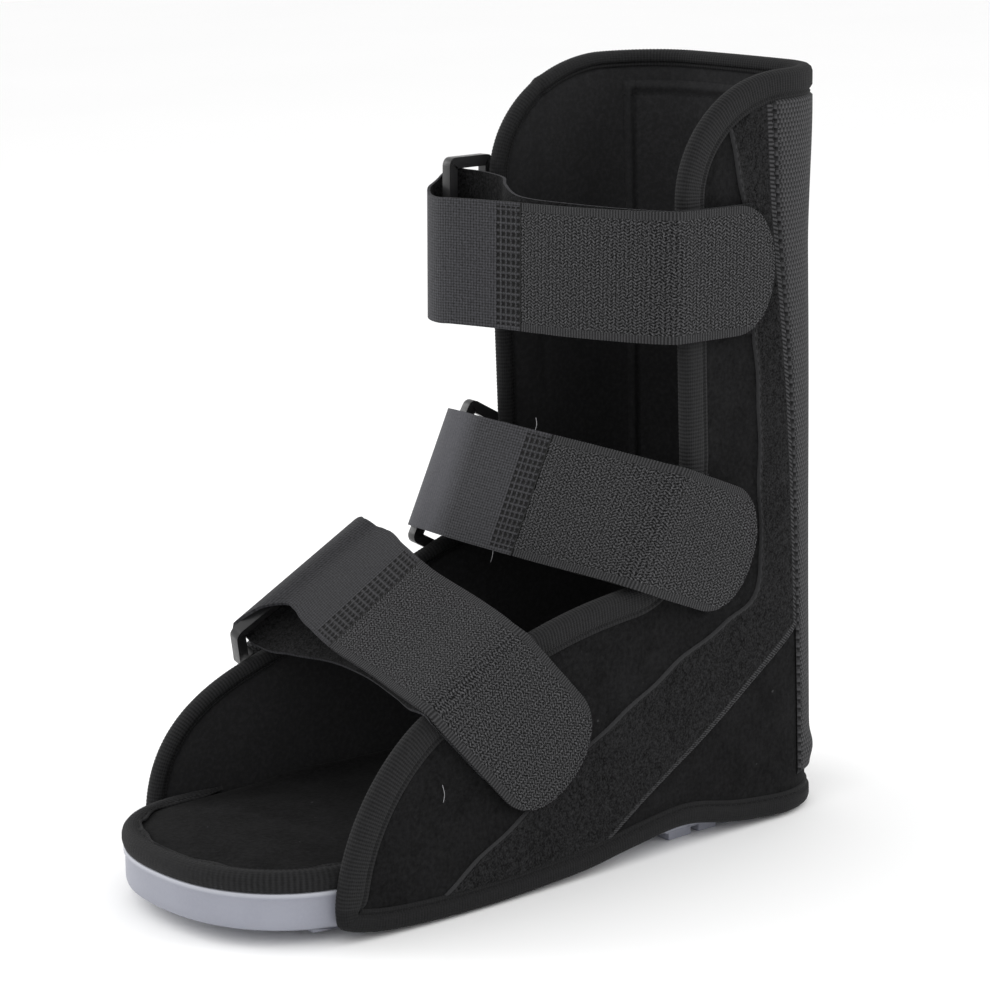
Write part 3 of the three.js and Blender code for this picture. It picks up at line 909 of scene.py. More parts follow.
@dataclass
class WallPlan:
    """The U-shaped plan of the wall's outer face, and its flat length from the left toe end."""

    side: Sequence[tuple[float, float]] = ((62.2, -112), (64.4, -58), (61.5, 18), (58, 80), (56, 116))
    corner: Sequence[tuple[float, float]] = ((56, 116), (55.2, 135), (43, 148.5), (27, 148.5))
    back: Sequence[tuple[float, float]] = ((27, 148.5), (13.5, 149.3), (0, 149.3))
    flare: float = 4.5
    flare_from: float = -35.0
    flare_to: float = -103.0
    line: Array = field(init=False)
    along: Array = field(init=False)
    normal: Array = field(init=False)
    middle: int = field(init=False)

    def __post_init__(self) -> None:
        """Works out the whole plan."""
        left = np.concatenate([
            catmull(self.side, 160), bezier(self.corner, 60)[1:], bezier(self.back, 24)[1:],
        ])
        self.middle = len(left) - 1
        right = left * (-1, 1)
        right[:, 0] -= self.flare_at(right[:, 1])
        self.line = np.concatenate([left, right[::-1][1:]])
        self.along = lengths(self.line)
        way = tangents(self.line)
        self.normal = np.stack([way[:, 1], -way[:, 0]], axis=1)

    def flare_at(self, y: Array) -> Array:
        """How much further out the right wall leans than the left one."""
        share = np.clip((self.flare_from - y) / (self.flare_from - self.flare_to), 0, 1.1)
        return self.flare * share**2

    def half_width(self, y: Array) -> Array:
        """Outer half width of the left wall at places along it."""
        return np.interp(y, self.line[: self.middle + 1, 1], self.line[: self.middle + 1, 0])

    def flat(self, side: Side, y: Array) -> Array:
        """Flat length of places given by their y.

        Args:
            side: The side wall they lie on.
            y: Their places along the shoe.

        Returns:
            Their flat lengths from the left toe end.
        """
        left = slice(0, self.middle + 1)
        if side is Side.LEFT:
            return np.interp(y, self.line[left, 1], self.along[left])
        return np.interp(y, self.line[self.middle:, 1][::-1], self.along[self.middle:][::-1])

    def place(self, s: Array, z: Array, out: Array) -> Array:
        """Wraps flat places round the plan.

        Args:
            s: Flat lengths.
            z: Heights.
            out: Distances outwards from the wall's outer face.

        Returns:
            The places in space.
        """
        point = np.concatenate([sampled(s, self.along, self.line), z[..., None]], axis=-1)
        return point + self.outward(s) * out[..., None]

    def outward(self, s: Array) -> Array:
        """Directions out of the wall.

        Args:
            s: Flat lengths.

        Returns:
            A unit vector at each place.
        """
        normal = sampled(s, self.along, self.normal)
        size = np.maximum(np.hypot(normal[..., 0], normal[..., 1]), TINY)
        return np.insert(normal / size[..., None], 2, 0.0, axis=-1)

    def unrolled(self, side: Side, line: Array) -> Array:
        """A side wall's line of (y, height) as (flat length, height)."""
        return np.stack([self.flat(side, line[:, 0]), line[:, 1]], axis=1)


@dataclass
class WallOutline:
    """The cut edge of the wall on its flat pattern."""

    plan: WallPlan
    left_front: Sequence[Sequence[tuple[float, float]]] = (
        ((-101.9, 6.6), (-102.4, 9), (-102.5, 13.4)),
        ((-102.5, 13.4), (-100, 43.3), (-80, 70), (-60, 80.3)),
        ((-60, 80.3), (-19, 105.2), (39.5, 109.2)),
    )
    right_front: Sequence[Sequence[tuple[float, float]]] = (
        ((-102.4, 6.6), (-102.9, 9), (-103, 13.4)),
        ((-103, 13.4), (-103.5, 42), (-90, 60), (-60, 71.6)),
        ((-60, 71.6), (-10, 90), (39.5, 109.2)),
    )
    shank: Sequence[Sequence[tuple[float, float]]] = (
        ((39.5, 109.2), (65, 112), (67.7, 154)), ((67.7, 154), (66.2, 252.2)),
    )
    top: tuple[float, float, float, float] = (121.5, 252.2, 55.3, 47.0)
    floor: Sequence[tuple[float, float]] = (
        (-112, 12), (-103, 7), (-95, 3.8), (-80, 1.6), (-55, 0.7), (-30, 0.6), (-5, 1.6), (15, 2.9),
        (40, 6.4), (66, 8.6), (92, 4), (120, 1.2), (152, 0.6),
    )
    corner_y: float = -102.2
    spacing: float = 1.5
    batch: int = 4000
    rear: float = field(init=False)
    edge: Array = field(init=False)
    hem: Array = field(init=False)

    def __post_init__(self) -> None:
        """Works out the upper edge and the hem as lines of (flat length, height)."""
        self.rear = float(self.plan.line[self.plan.middle, 1])
        left, right = (self._half(side) for side in Side)
        self.edge = np.concatenate([left, right[::-1][1:]])
        line = catmull(self.floor, 160)
        line = line[line[:, 0] > self.corner_y]
        line[-1] = (self.rear, self.floor[-1][1])
        left, right = (self.plan.unrolled(side, line) for side in Side)
        self.hem = np.concatenate([left, right[::-1][1:]])

    def _half(self, side: Side) -> Array:
        """One side's upper edge.

        Args:
            side: The side wall.

        Returns:
            Its line from the foot corner to the middle of the back.
        """
        parts = [bezier(c, 60) for c in (self.left_front if side is Side.LEFT else self.right_front)]
        parts += [bezier(c, 50) for c in self.shank]
        y, z, reach, rise = self.top
        turn = np.linspace(math.pi, math.pi / 2, 60)
        parts.append(np.stack([y + reach * np.cos(turn), z + rise * np.sin(turn)], axis=1))
        parts.append(np.stack([np.linspace(y, self.rear, 60), np.full(60, z + rise)], axis=1))
        line = np.concatenate([p[1 if i else 0:] for i, p in enumerate(parts)])
        return self.plan.unrolled(side, line)

    def inside(self, s: Array, z: Array, inset: float) -> Array:
        """Which flat places lie inside the outline.

        Args:
            s: Flat lengths.
            z: Heights.
            inset: How far inside they have to be.

        Returns:
            True for each place inside.
        """
        loop = np.concatenate([resampled(line, self.spacing)[::step]
                               for line, step in ((self.edge, 1), (self.hem, -1))])
        after = np.roll(loop, -1, axis=0)
        within = np.zeros(s.shape, bool)
        for a, b in zip(loop, after):
            crosses = (a[1] > z) != (b[1] > z)
            if crosses.any():
                reach = a[0] + (z - a[1]) / (b[1] - a[1] + 1e-12) * (b[0] - a[0])
                within ^= crosses & (s < reach)
        return within & (self.distance(s, z) > inset)

    def distance(self, s: Array, z: Array, line: Optional[Array] = None) -> Array:
        """Distance of flat places from an edge.

        Args:
            s: Flat lengths.
            z: Heights.
            line: The edge; the whole outline when left out.

        Returns:
            The distances.
        """
        whole = np.concatenate([self.edge, self.hem[::-1]]) if line is None else line
        loop = resampled(whole, self.spacing)
        flat = np.stack([s.ravel(), z.ravel()], axis=1)
        best = [
            np.hypot(part[:, None, 0] - loop[None, :, 0], part[:, None, 1] - loop[None, :, 1]).min(axis=1)
            for part in (flat[start:start + self.batch] for start in range(0, len(flat), self.batch))
        ]
        return np.concatenate(best).reshape(s.shape)


# ---------------------------------------------------------------- stitches


@dataclass
class Stitching:
    """All the sewing stitches, as short grains of thread in one joined mesh."""

    length: float = 2.3
    radius: float = 0.26
    rings: int = 4
    around: int = 5
    thinned: float = 0.55
    proud: float = 0.35
    sunk: float = 0.95
    grains: list = field(default_factory=list)

    def run(self, line: Array, normal: Array, pitch: float = 3.1, across: Optional[Array] = None,
            length: Optional[float] = None) -> None:
        """Adds stitches along a line in space.

        Args:
            line: The line's points.
            normal: The way out of the cloth at each point.
            pitch: Distance between stitches.
            across: Direction of the stitches where they don't follow the line.
            length: Length of each stitch.
        """
        along = lengths(line)
        at = np.arange(pitch / 2, along[-1], pitch)
        source = tangents(line) if across is None else across
        place, way, up = (sampled(at, along, rows) for rows in (line, source, normal))
        size = self.length if length is None else length
        self.grains.extend(zip(place, way, up, [size] * len(at)))

    def build(self) -> bpy.types.Object:
        """Makes the mesh of all grains.

        Returns:
            The stitches as one piece.
        """
        rings, around = self.rings, self.around
        points, faces = [], []
        for place, way, up, size in self.grains:
            way = way / max(np.linalg.norm(way), TINY)
            up = up - way * float(up @ way)
            up = up / max(np.linalg.norm(up), TINY)
            side = np.cross(way, up)
            first = len(points)
            for r in range(rings):
                t = -1 + 2 * r / (rings - 1)
                thick = self.radius * (1 - self.thinned * abs(t))
                lift = self.radius * (self.proud - self.sunk * abs(t) ** 2)
                for k in range(around):
                    turn = 2 * math.pi * k / around
                    points.append(place + way * t * size / 2 + up * (lift + thick * math.sin(turn))
                                  + side * thick * math.cos(turn))
            for r in range(rings - 1):
                for k in range(around):
                    n = (k + 1) % around
                    faces.append((first + r * around + k, first + r * around + n,
                                  first + (r + 1) * around + n, first + (r + 1) * around + k))
            last = first + (rings - 1) * around
            faces.append(tuple(first + k for k in reversed(range(around))))
            faces.append(tuple(last + k for k in range(around)))
        mesh = bpy.data.meshes.new("stitches")
        mesh.from_pydata((np.array(points) * MM).tolist(), [], faces)
        return cleaned(linked("stitches", mesh))

    def dress(self, finish: ThreadFinish) -> None:
        """Builds the stitches and gives them their thread."""
        dressed(self.build(), finish.material(), Slot.TAPE)


@dataclass
class LooseThreads:
    """Pale ends of thread: one caught on the left wall, two standing out of the middle strap's edges."""

    radius: float = 0.12
    ends: Sequence[Sequence[tuple[float, float, float]]] = (
        ((65.1, -56.3, 45.6), (65.5, -56.0, 48.8), (65.1, -56.5, 52.2)),
        ((-5.6, 23.6, 116.0), (-5.2, 22.8, 113.0), (-6.0, 22.4, 110.2)),
        ((-6.0, 45.2, 158.6), (-5.7, 46.4, 161.6), (-6.6, 46.8, 164.4)),
    )

    def build(self) -> bpy.types.Object:
        """Makes the threads as round curves turned into one mesh.

        Returns:
            The threads as one piece.
        """
        curve = bpy.data.curves.new("loose_threads", "CURVE")
        curve.dimensions = "3D"
        curve.bevel_depth, curve.bevel_resolution, curve.use_fill_caps = self.radius * MM, 1, True
        for end in self.ends:
            points = catmull(end, 10) * MM
            spline = curve.splines.new("POLY")
            spline.points.add(len(points) - 1)
            spline.points.foreach_set("co", np.insert(points, 3, 1.0, axis=1).astype(np.float32).ravel())
        obj = linked("loose_threads", curve)
        select_only(obj)
        bpy.ops.object.convert(target="MESH")
        return cleaned(obj)

    def dress(self, finish: ThreadFinish) -> None:
        """Builds the threads and gives them their finish."""
        dressed(self.build(), finish.material(), Slot.TAPE)


# ---------------------------------------------------------------- upper


@dataclass
class Upper:
    """The padded felt wall, its bound edge and its hem."""

    plan: WallPlan
    outline: WallOutline
    stitching: Stitching
    cell: float = 3.0
    band: float = 11.5
    hem_band: float = 9.0
    inner_band: float = 6.5
    rib: float = 1.45
    hem_rib: float = 0.05
    edge_rib: float = 0.14
    rib_start: tuple[float, float] = (0.6, 2.6)
    sewn_row: int = 3
    stitch: float = 3.0
    turns: int = 7
    hem_change: float = 14.0
    corner_window: int = 9
    puff: float = 0.55
    fullness: float = 2.0
    full_heights: tuple[float, float] = (225.0, 285.0)
    full_reach: tuple[float, float] = (90.0, 40.0)
    seam_y: float = 90.0
    seam_depth: float = 1.1
    seam_wide: float = 1.8
    seam_foot: tuple[float, float] = (150.0, 175.0)
    height: float = 302.0
    felt_inset: float = 2.2

    def sway(self, s: Array, z: Array) -> Array:
        """The soft wall's gentle waves, fuller top at the back and sewn groove on the right.

        Args:
            s: Flat lengths.
            z: Heights.

        Returns:
            How far the wall stands off its plan.
        """
        waves = 0.18 * np.sin(s / 37 + z / 61) * np.sin(z / 43 + 0.8) + 0.1 * np.sin(s / 19 - z / 28)
        middle = self.plan.along[self.plan.middle]
        full = self.fullness * smoothstep(*self.full_heights, z)
        full = full * smoothstep(*self.full_reach, np.abs(s - middle))
        seam = float(self.plan.flat(Side.RIGHT, np.array(self.seam_y)))
        groove = Ridge(self.seam_depth, seam, self.seam_wide).at(s) * smoothstep(*self.seam_foot, z)
        return waves + full + groove

    def wall(self) -> bpy.types.Object:
        """Makes the felt wall from its flat cut.

        Returns:
            The wall.
        """
        s = np.arange(0, self.plan.along[-1], self.cell)
        z = np.arange(0, self.height, self.cell)
        s, z = np.meshgrid(s, z, indexing="ij")
        middle_s, middle_z = (s[:-1, :-1] + s[1:, 1:]) / 2, (z[:-1, :-1] + z[1:, 1:]) / 2
        keep = self.outline.inside(middle_s, middle_z, self.felt_inset)
        points = self.plan.place(s, z, self.sway(s, z))
        obj = sheet_object("felt_wall", points, np.stack([s, z], axis=-1), keep)
        two_faced(obj)
        modify(obj, "SOLIDIFY", thickness=WALL * MM, offset=1.0 if self._faces_in(obj) else -1.0,
               material_offset=1, material_offset_rim=1)
        modify(obj, "SUBSURF", levels=1, render_levels=1)
        return cleaned(obj)

    @staticmethod
    def _faces_in(obj: bpy.types.Object) -> bool:
        """Whether a sheet's normals point to the inside of the wall."""
        face = max(obj.data.polygons, key=lambda f: f.center.x)
        return face.normal.x < 0

    def edge_loop(self) -> tuple[Array, Array]:
        """The closed line of the wall's edge with eased corners.

        Returns:
            The line, and whether each place is on the upper edge (1) or the hem (0).
        """
        upper, hem = self.outline.edge, self.outline.hem[::-1]
        loop = resampled(np.concatenate([upper, hem[1:], upper[:1]]), self.rib / 4)[:-1]
        along = lengths(loop)
        turn_over = lengths(upper)[-1]
        share = both_ends(0, self.hem_change, along, turn_over)
        reach = self.corner_window // 2
        window = np.ones(self.corner_window) / self.corner_window
        padded = np.concatenate([loop[-reach:], loop, loop[:reach]])
        eased = np.stack([np.convolve(padded[:, k], window, "valid") for k in range(2)], axis=1)
        return np.concatenate([eased, eased[:1]]), np.concatenate([share, share[:1]])

    @staticmethod
    def depth_limit(line: Array, inward: Array, reach: float) -> Array:
        """How deep the tape may go before it meets the tape from round the corner.

        Args:
            line: The wall's edge.
            inward: Directions into the wall.
            reach: Width of the tape.

        Returns:
            The depth at each place.
        """
        batch, far, ahead_least = 400, 1e3, 0.02
        limit = np.full(len(line), far)
        for start in range(0, len(line), batch):
            part = slice(start, start + batch)
            gap = line[None, :, :] - line[part, None, :]
            square = (gap**2).sum(axis=2)
            ahead = (gap * inward[part, None, :]).sum(axis=2)
            near = (ahead > ahead_least) & (square < (3 * reach) ** 2)
            bound = np.where(near, square / np.maximum(2 * ahead, TINY), far)
            limit[part] = bound.min(axis=1)
        return limit

    def binding(self) -> tuple[bpy.types.Object, Cut]:
        """Makes the ribbed tape folded over the whole edge of the wall, with mitred foot corners.

        Returns:
            The tape and its cut size.
        """
        line, upper = self.edge_loop()
        along = lengths(line)
        way = tangents(np.concatenate([line[-2:-1], line, line[1:2]]))[1:-1]
        inward = np.stack([way[:, 1], -way[:, 0]], axis=1)
        limit = self.depth_limit(line, inward, self.band)
        lift = GAP + TAPE
        bend = WALL / 2 + lift
        # Columns: share of the band's width, depth added to it, distance out of the wall's face.
        outer = np.array([
            (1, 0.2, -0.25), (1, 0, lift * 0.7), (1, -1.0, lift * 0.8), (1, -1.7, lift * 0.3),
            (1, -2.5, lift * 0.9), (0.66, 0.4, lift + 0.5), (0.36, bend / 2, lift + self.puff),
            (0.08, bend, lift + self.puff),
        ])
        turn = np.linspace(math.pi / 2, -math.pi / 2, self.turns)
        fold = np.stack([0 * turn, bend - bend * np.cos(turn),
                         -WALL / 2 + (bend + self.puff) * np.sin(turn)], axis=1)
        inner = outer[::-1] * (1, 1, -1) - (0, 0, WALL)
        share, extra, out = np.concatenate([outer, fold, inner]).T
        face = np.arange(len(share)) < len(share) / 2
        outer_band = self.hem_band + (self.band - self.hem_band) * upper
        band = np.where(face[None, :], outer_band[:, None], self.inner_band)
        d = share * band + extra
        profile = np.stack([share * np.where(face, self.band, self.inner_band) + extra, out], axis=1)
        across = lengths(profile)
        height = (self.hem_rib + (self.edge_rib - self.hem_rib) * upper) * ribs(along, self.rib)
        rise = height[:, None] * both_ends(*self.rib_start, across, across[-1])
        profile_way = tangents(profile)
        profile_out = np.stack([profile_way[:, 1], -profile_way[:, 0]], axis=1)
        profile_out *= -np.sign(profile_out[len(profile) // 2, 0])
        d = np.minimum(d + profile_out[:, 0] * rise, limit[:, None] * 0.99)
        t = out + profile_out[:, 1] * rise
        s = line[:, None, 0] + inward[:, None, 0] * d
        z = line[:, None, 1] + inward[:, None, 1] * d
        points = self.plan.place(s, z, t + self.sway(s, z))
        flat = pattern_of(across[None, :], along[:, None])
        for k, up in ((self.sewn_row, 1.0), (-1 - self.sewn_row, -1.0)):
            self.stitching.run(points[:, k], self.plan.outward(s[:, k]) * up, self.stitch)
        obj = sheet_object("edge_binding", points, flat)
        two_faced(obj)
        below = np.repeat((upper[:-1] < 0.5).astype(np.int32), len(share) - 1)
        obj.data.polygons.foreach_set("material_index", below)
        return obj, Cut.of(flat)

    def dress(self, felt: FeltFinish, lining: FeltFinish, tape: RibTapeFinish, hem: RibTapeFinish) -> None:
        """Builds the wall and its binding.

        Args:
            felt: Finish of the wall's outer face.
            lining: Finish of its inner face.
            tape: Finish of the binding.
            hem: Finish of the binding along the hem.
        """
        wall = dressed(self.wall(), (felt.material(), lining.material()), Slot.FELT, "upper")
        cloths = [cloth.material() for cloth in (tape, hem)]
        tailored(self.binding(), cloths, Slot.TAPE, "upper_binding", Hold.FOLDED, wall.name)


@dataclass
class WallStrips:
    """Strips sewn flat on the wall: loop strips, the woven back strip and the inside pocket."""

    plan: WallPlan
    outline: WallOutline
    upper: Upper
    stitching: Stitching
    front: Sequence[tuple[float, float]] = (
        (90, 288), (99.5, 245), (104.5, 199), (107, 136), (104.7, 99), (87.4, 86.5), (57, 74), (16, 52.3),
        (-37.4, 21.7), (-66, 4),
    )
    rear: Sequence[tuple[float, float]] = ((128.2, 78), (111, 66), (78, 44.2), (43.7, 24.6), (10, 3))
    woven_edge: Sequence[tuple[float, float]] = (
        (114, 310), (116.5, 249), (124.5, 167), (129, 55), (130, -5),
    )
    strip_heights: tuple[float, float] = (288.0, 82.0)
    strip_rows: int = 300
    strip_columns: int = 40
    strip_stitch: float = 3.4
    pile: float = 1.0
    pile_roughness: float = 0.05
    woven_foot: float = 15.0
    woven_top: float = 289.0
    woven_thick: float = 1.6
    woven_cell: float = 1.6
    woven_stitch: tuple[float, float] = (1.9, 1.5)
    pocket_front: float = 131.0
    pocket: tuple[float, float] = (32.0, 287.0)
    pocket_stitch: float = 3.2
    pocket_pipe: Ridge = Ridge(1.2, 2.6, 1.3)
    pocket_groove: Ridge = Ridge(-0.75, 5.6, 1.1)
    strip_ridge: Ridge = Ridge(0.3, 1.0, 0.7)
    woven_roll: Ridge = Ridge(1.5, 9.0, 5.0)

    def woven_y(self, z: Array) -> Array:
        """The woven strip's edge on the side wall, by height."""
        line = catmull(self.woven_edge, 80)[::-1]
        return np.interp(z, line[:, 1], line[:, 0])

    def pressed(self, s: Array, z: Array, out: Array) -> Array:
        """Presses a strip flat where it runs under the edge tape.

        Args:
            s: Flat lengths.
            z: Heights.
            out: How far the strip stands off the wall.

        Returns:
            The pressed distances.
        """
        under_edge = self.outline.distance(s, z, self.outline.edge) - self.upper.band
        under_hem = self.outline.distance(s, z, self.outline.hem) - self.upper.hem_band
        clear = smoothstep(-1.4, 0.6, np.minimum(under_edge, under_hem))
        return out * clear - 0.4 * (1 - clear)

    def loop_strip(self, side: Side) -> tuple[bpy.types.Object, Cut]:
        """Makes the L-shaped strip of one side.

        Args:
            side: The side wall that it is sewn on.

        Returns:
            The strip and its cut size.
        """
        front = catmull(self.front, 240)
        z = np.linspace(*self.strip_heights, 90)
        woven = np.stack([self.woven_y(z) - 0.5, z], axis=1)
        rear = np.concatenate([woven, catmull(self.rear, 120)[1:]])
        front = resampled(front, lengths(front)[-1] / self.strip_rows)
        rear = self._matched(front, rear)
        a, b = (self.plan.unrolled(side, line) for line in (front, rear))
        width = np.linalg.norm(b - a, axis=1)
        share = np.linspace(0.035, 0.965, self.strip_columns - 4)
        share = np.concatenate([[0, 0.012], share, [0.988, 1]])
        way = tangents(a)
        sway = 0.5 * np.sin(lengths(a) / 11) + 0.35 * np.sin(lengths(a) / 4.7 + 1)
        a = a + np.stack([way[:, 1], -way[:, 0]], axis=1) * sway[:, None]
        flat = a[:, None] * (1 - share)[None, :, None] + b[:, None] * share[None, :, None]
        from_edge = np.minimum(share, 1 - share)[None, :] * width[:, None]
        rng = np.random.default_rng(5 if side is Side.LEFT else 6)
        out = GAP + self.pile + self.strip_ridge.at(from_edge)
        out = out + rng.normal(0, self.pile_roughness, from_edge.shape)
        out = np.where(from_edge < 0.05, 0.0, out)
        s, z = flat[..., 0], flat[..., 1]
        out = self.pressed(s, z, out) + self.upper.sway(s, z)
        pattern = pattern_of(share * width[:, None], lengths(a)[:, None])
        points = self.plan.place(s, z, out)
        for k in (2, -3):
            self.stitching.run(points[:, k], self.plan.outward(s[:, k]), self.strip_stitch)
        obj = sheet_object("pile_strip_" + side.name.lower(), points, pattern)
        mark(obj, "from_rear", (1 - share) * width[:, None])
        return obj, replace(Cut.of(pattern), area=Cut.of(flat).area)

    @staticmethod
    def _matched(front: Array, rear: Array) -> Array:
        """Matches a strip's edges so that both turn the corner at once.

        Args:
            front: The front edge.
            rear: The rear edge.

        Returns:
            A place on the rear edge for each on the front edge.
        """
        corner_y, corner_front, corner_rear = 104.0, 99.0, 78.0
        along_front, along_rear = lengths(front), lengths(rear)
        at_front = along_front[np.argmin(np.hypot(front[:, 0] - corner_y, front[:, 1] - corner_front))]
        at_rear = along_rear[np.argmin(np.abs(rear[:, 1] - corner_rear))]
        want = np.interp(along_front, [0, at_front, along_front[-1]], [0, at_rear, along_rear[-1]])
        return sampled(want, along_rear, rear)

    def woven_back(self) -> tuple[bpy.types.Object, Cut]:
        """Makes the woven strip round the back.

        Returns:
            The strip and its cut size.
        """
        z = np.arange(self.woven_foot, self.woven_top, self.woven_cell)
        edge = self.woven_y(z)
        left, right = self.plan.flat(Side.LEFT, edge), self.plan.flat(Side.RIGHT, edge)
        share = np.concatenate([[0, 0.004], np.linspace(0.012, 0.988, 92), [0.996, 1]])
        s = left[:, None] * (1 - share) + right[:, None] * share
        zz = np.broadcast_to(z[:, None], s.shape)
        from_edge = np.minimum(s - left[:, None], right[:, None] - s)
        out = GAP + self.woven_thick * smoothstep(-0.2, 0.5, from_edge)
        foot = zz - self.woven_foot
        out = out + self.woven_roll.at(foot) * smoothstep(0, 12, from_edge)
        out = np.where(foot < 0.1, 0.0, out)
        out = self.pressed(s, zz, out) + self.upper.sway(s, zz)
        points = self.plan.place(s, zz, out)
        pattern = np.stack([s - s[:, :1], zz], axis=-1)
        for k in (2, -3):
            across = points[:, k + (1 if k > 0 else -1)] - points[:, k] + (0, 0, 0.6)
            pitch, length = self.woven_stitch
            self.stitching.run(points[:, k], self.plan.outward(s[:, k]), pitch, across, length)
        return sheet_object("woven_back", points, pattern), Cut.of(pattern)

    def inner_pocket(self) -> tuple[bpy.types.Object, Cut]:
        """Makes the pocket sewn flat inside the back.

        Returns:
            The pocket and its cut size.
        """
        z = np.linspace(*self.pocket, 220)
        ends = [float(self.plan.flat(side, np.array(self.pocket_front))) for side in Side]
        s = np.linspace(*ends, 130)
        s, z = np.meshgrid(s, z, indexing="ij")
        edge = np.minimum.reduce([s - ends[0], ends[1] - s, z - self.pocket[0], self.pocket[1] - z])
        pipe = self.pocket_pipe.at(edge) + self.pocket_groove.at(edge)
        puff = 0.9 * smoothstep(6, 16, edge) + 0.25 * np.sin(z / 23) * smoothstep(2, 20, edge)
        out = -WALL - GAP - 1.0 * smoothstep(-0.1, 0.8, edge) - pipe - puff
        points = self.plan.place(s, z, out + self.upper.sway(s, z))
        for row in (np.s_[6], np.s_[-7], np.s_[:, -6]):
            self.stitching.run(points[row], -self.plan.outward(s[row]), self.pocket_stitch)
        flat = np.stack([s, z], axis=-1)
        return sheet_object("inner_pocket", points, flat), Cut.of(flat)

    def dress(self, pile: PileFinish, webbing: WebbingFinish, felt: FeltFinish) -> None:
        """Builds the strips and gives them their cloths.

        Args:
            pile: Finish of the loop strips.
            webbing: Finish of the woven back.
            felt: Finish of the inside pocket.
        """
        loops = pile.material()
        cloths = [
            (self.loop_strip(side), loops, Slot.LOOP, f"loop_strip_{side.name.lower()}") for side in Side
        ]
        cloths.append((self.woven_back(), webbing.material(), Slot.WEBBING, "back_webbing"))
        cloths.append((self.inner_pocket(), felt.material(), Slot.FELT, "stay_pocket"))
        for cloth in cloths:
            tailored(*cloth, Hold.LAID, "felt_wall")


# ---------------------------------------------------------------- sole and footbed


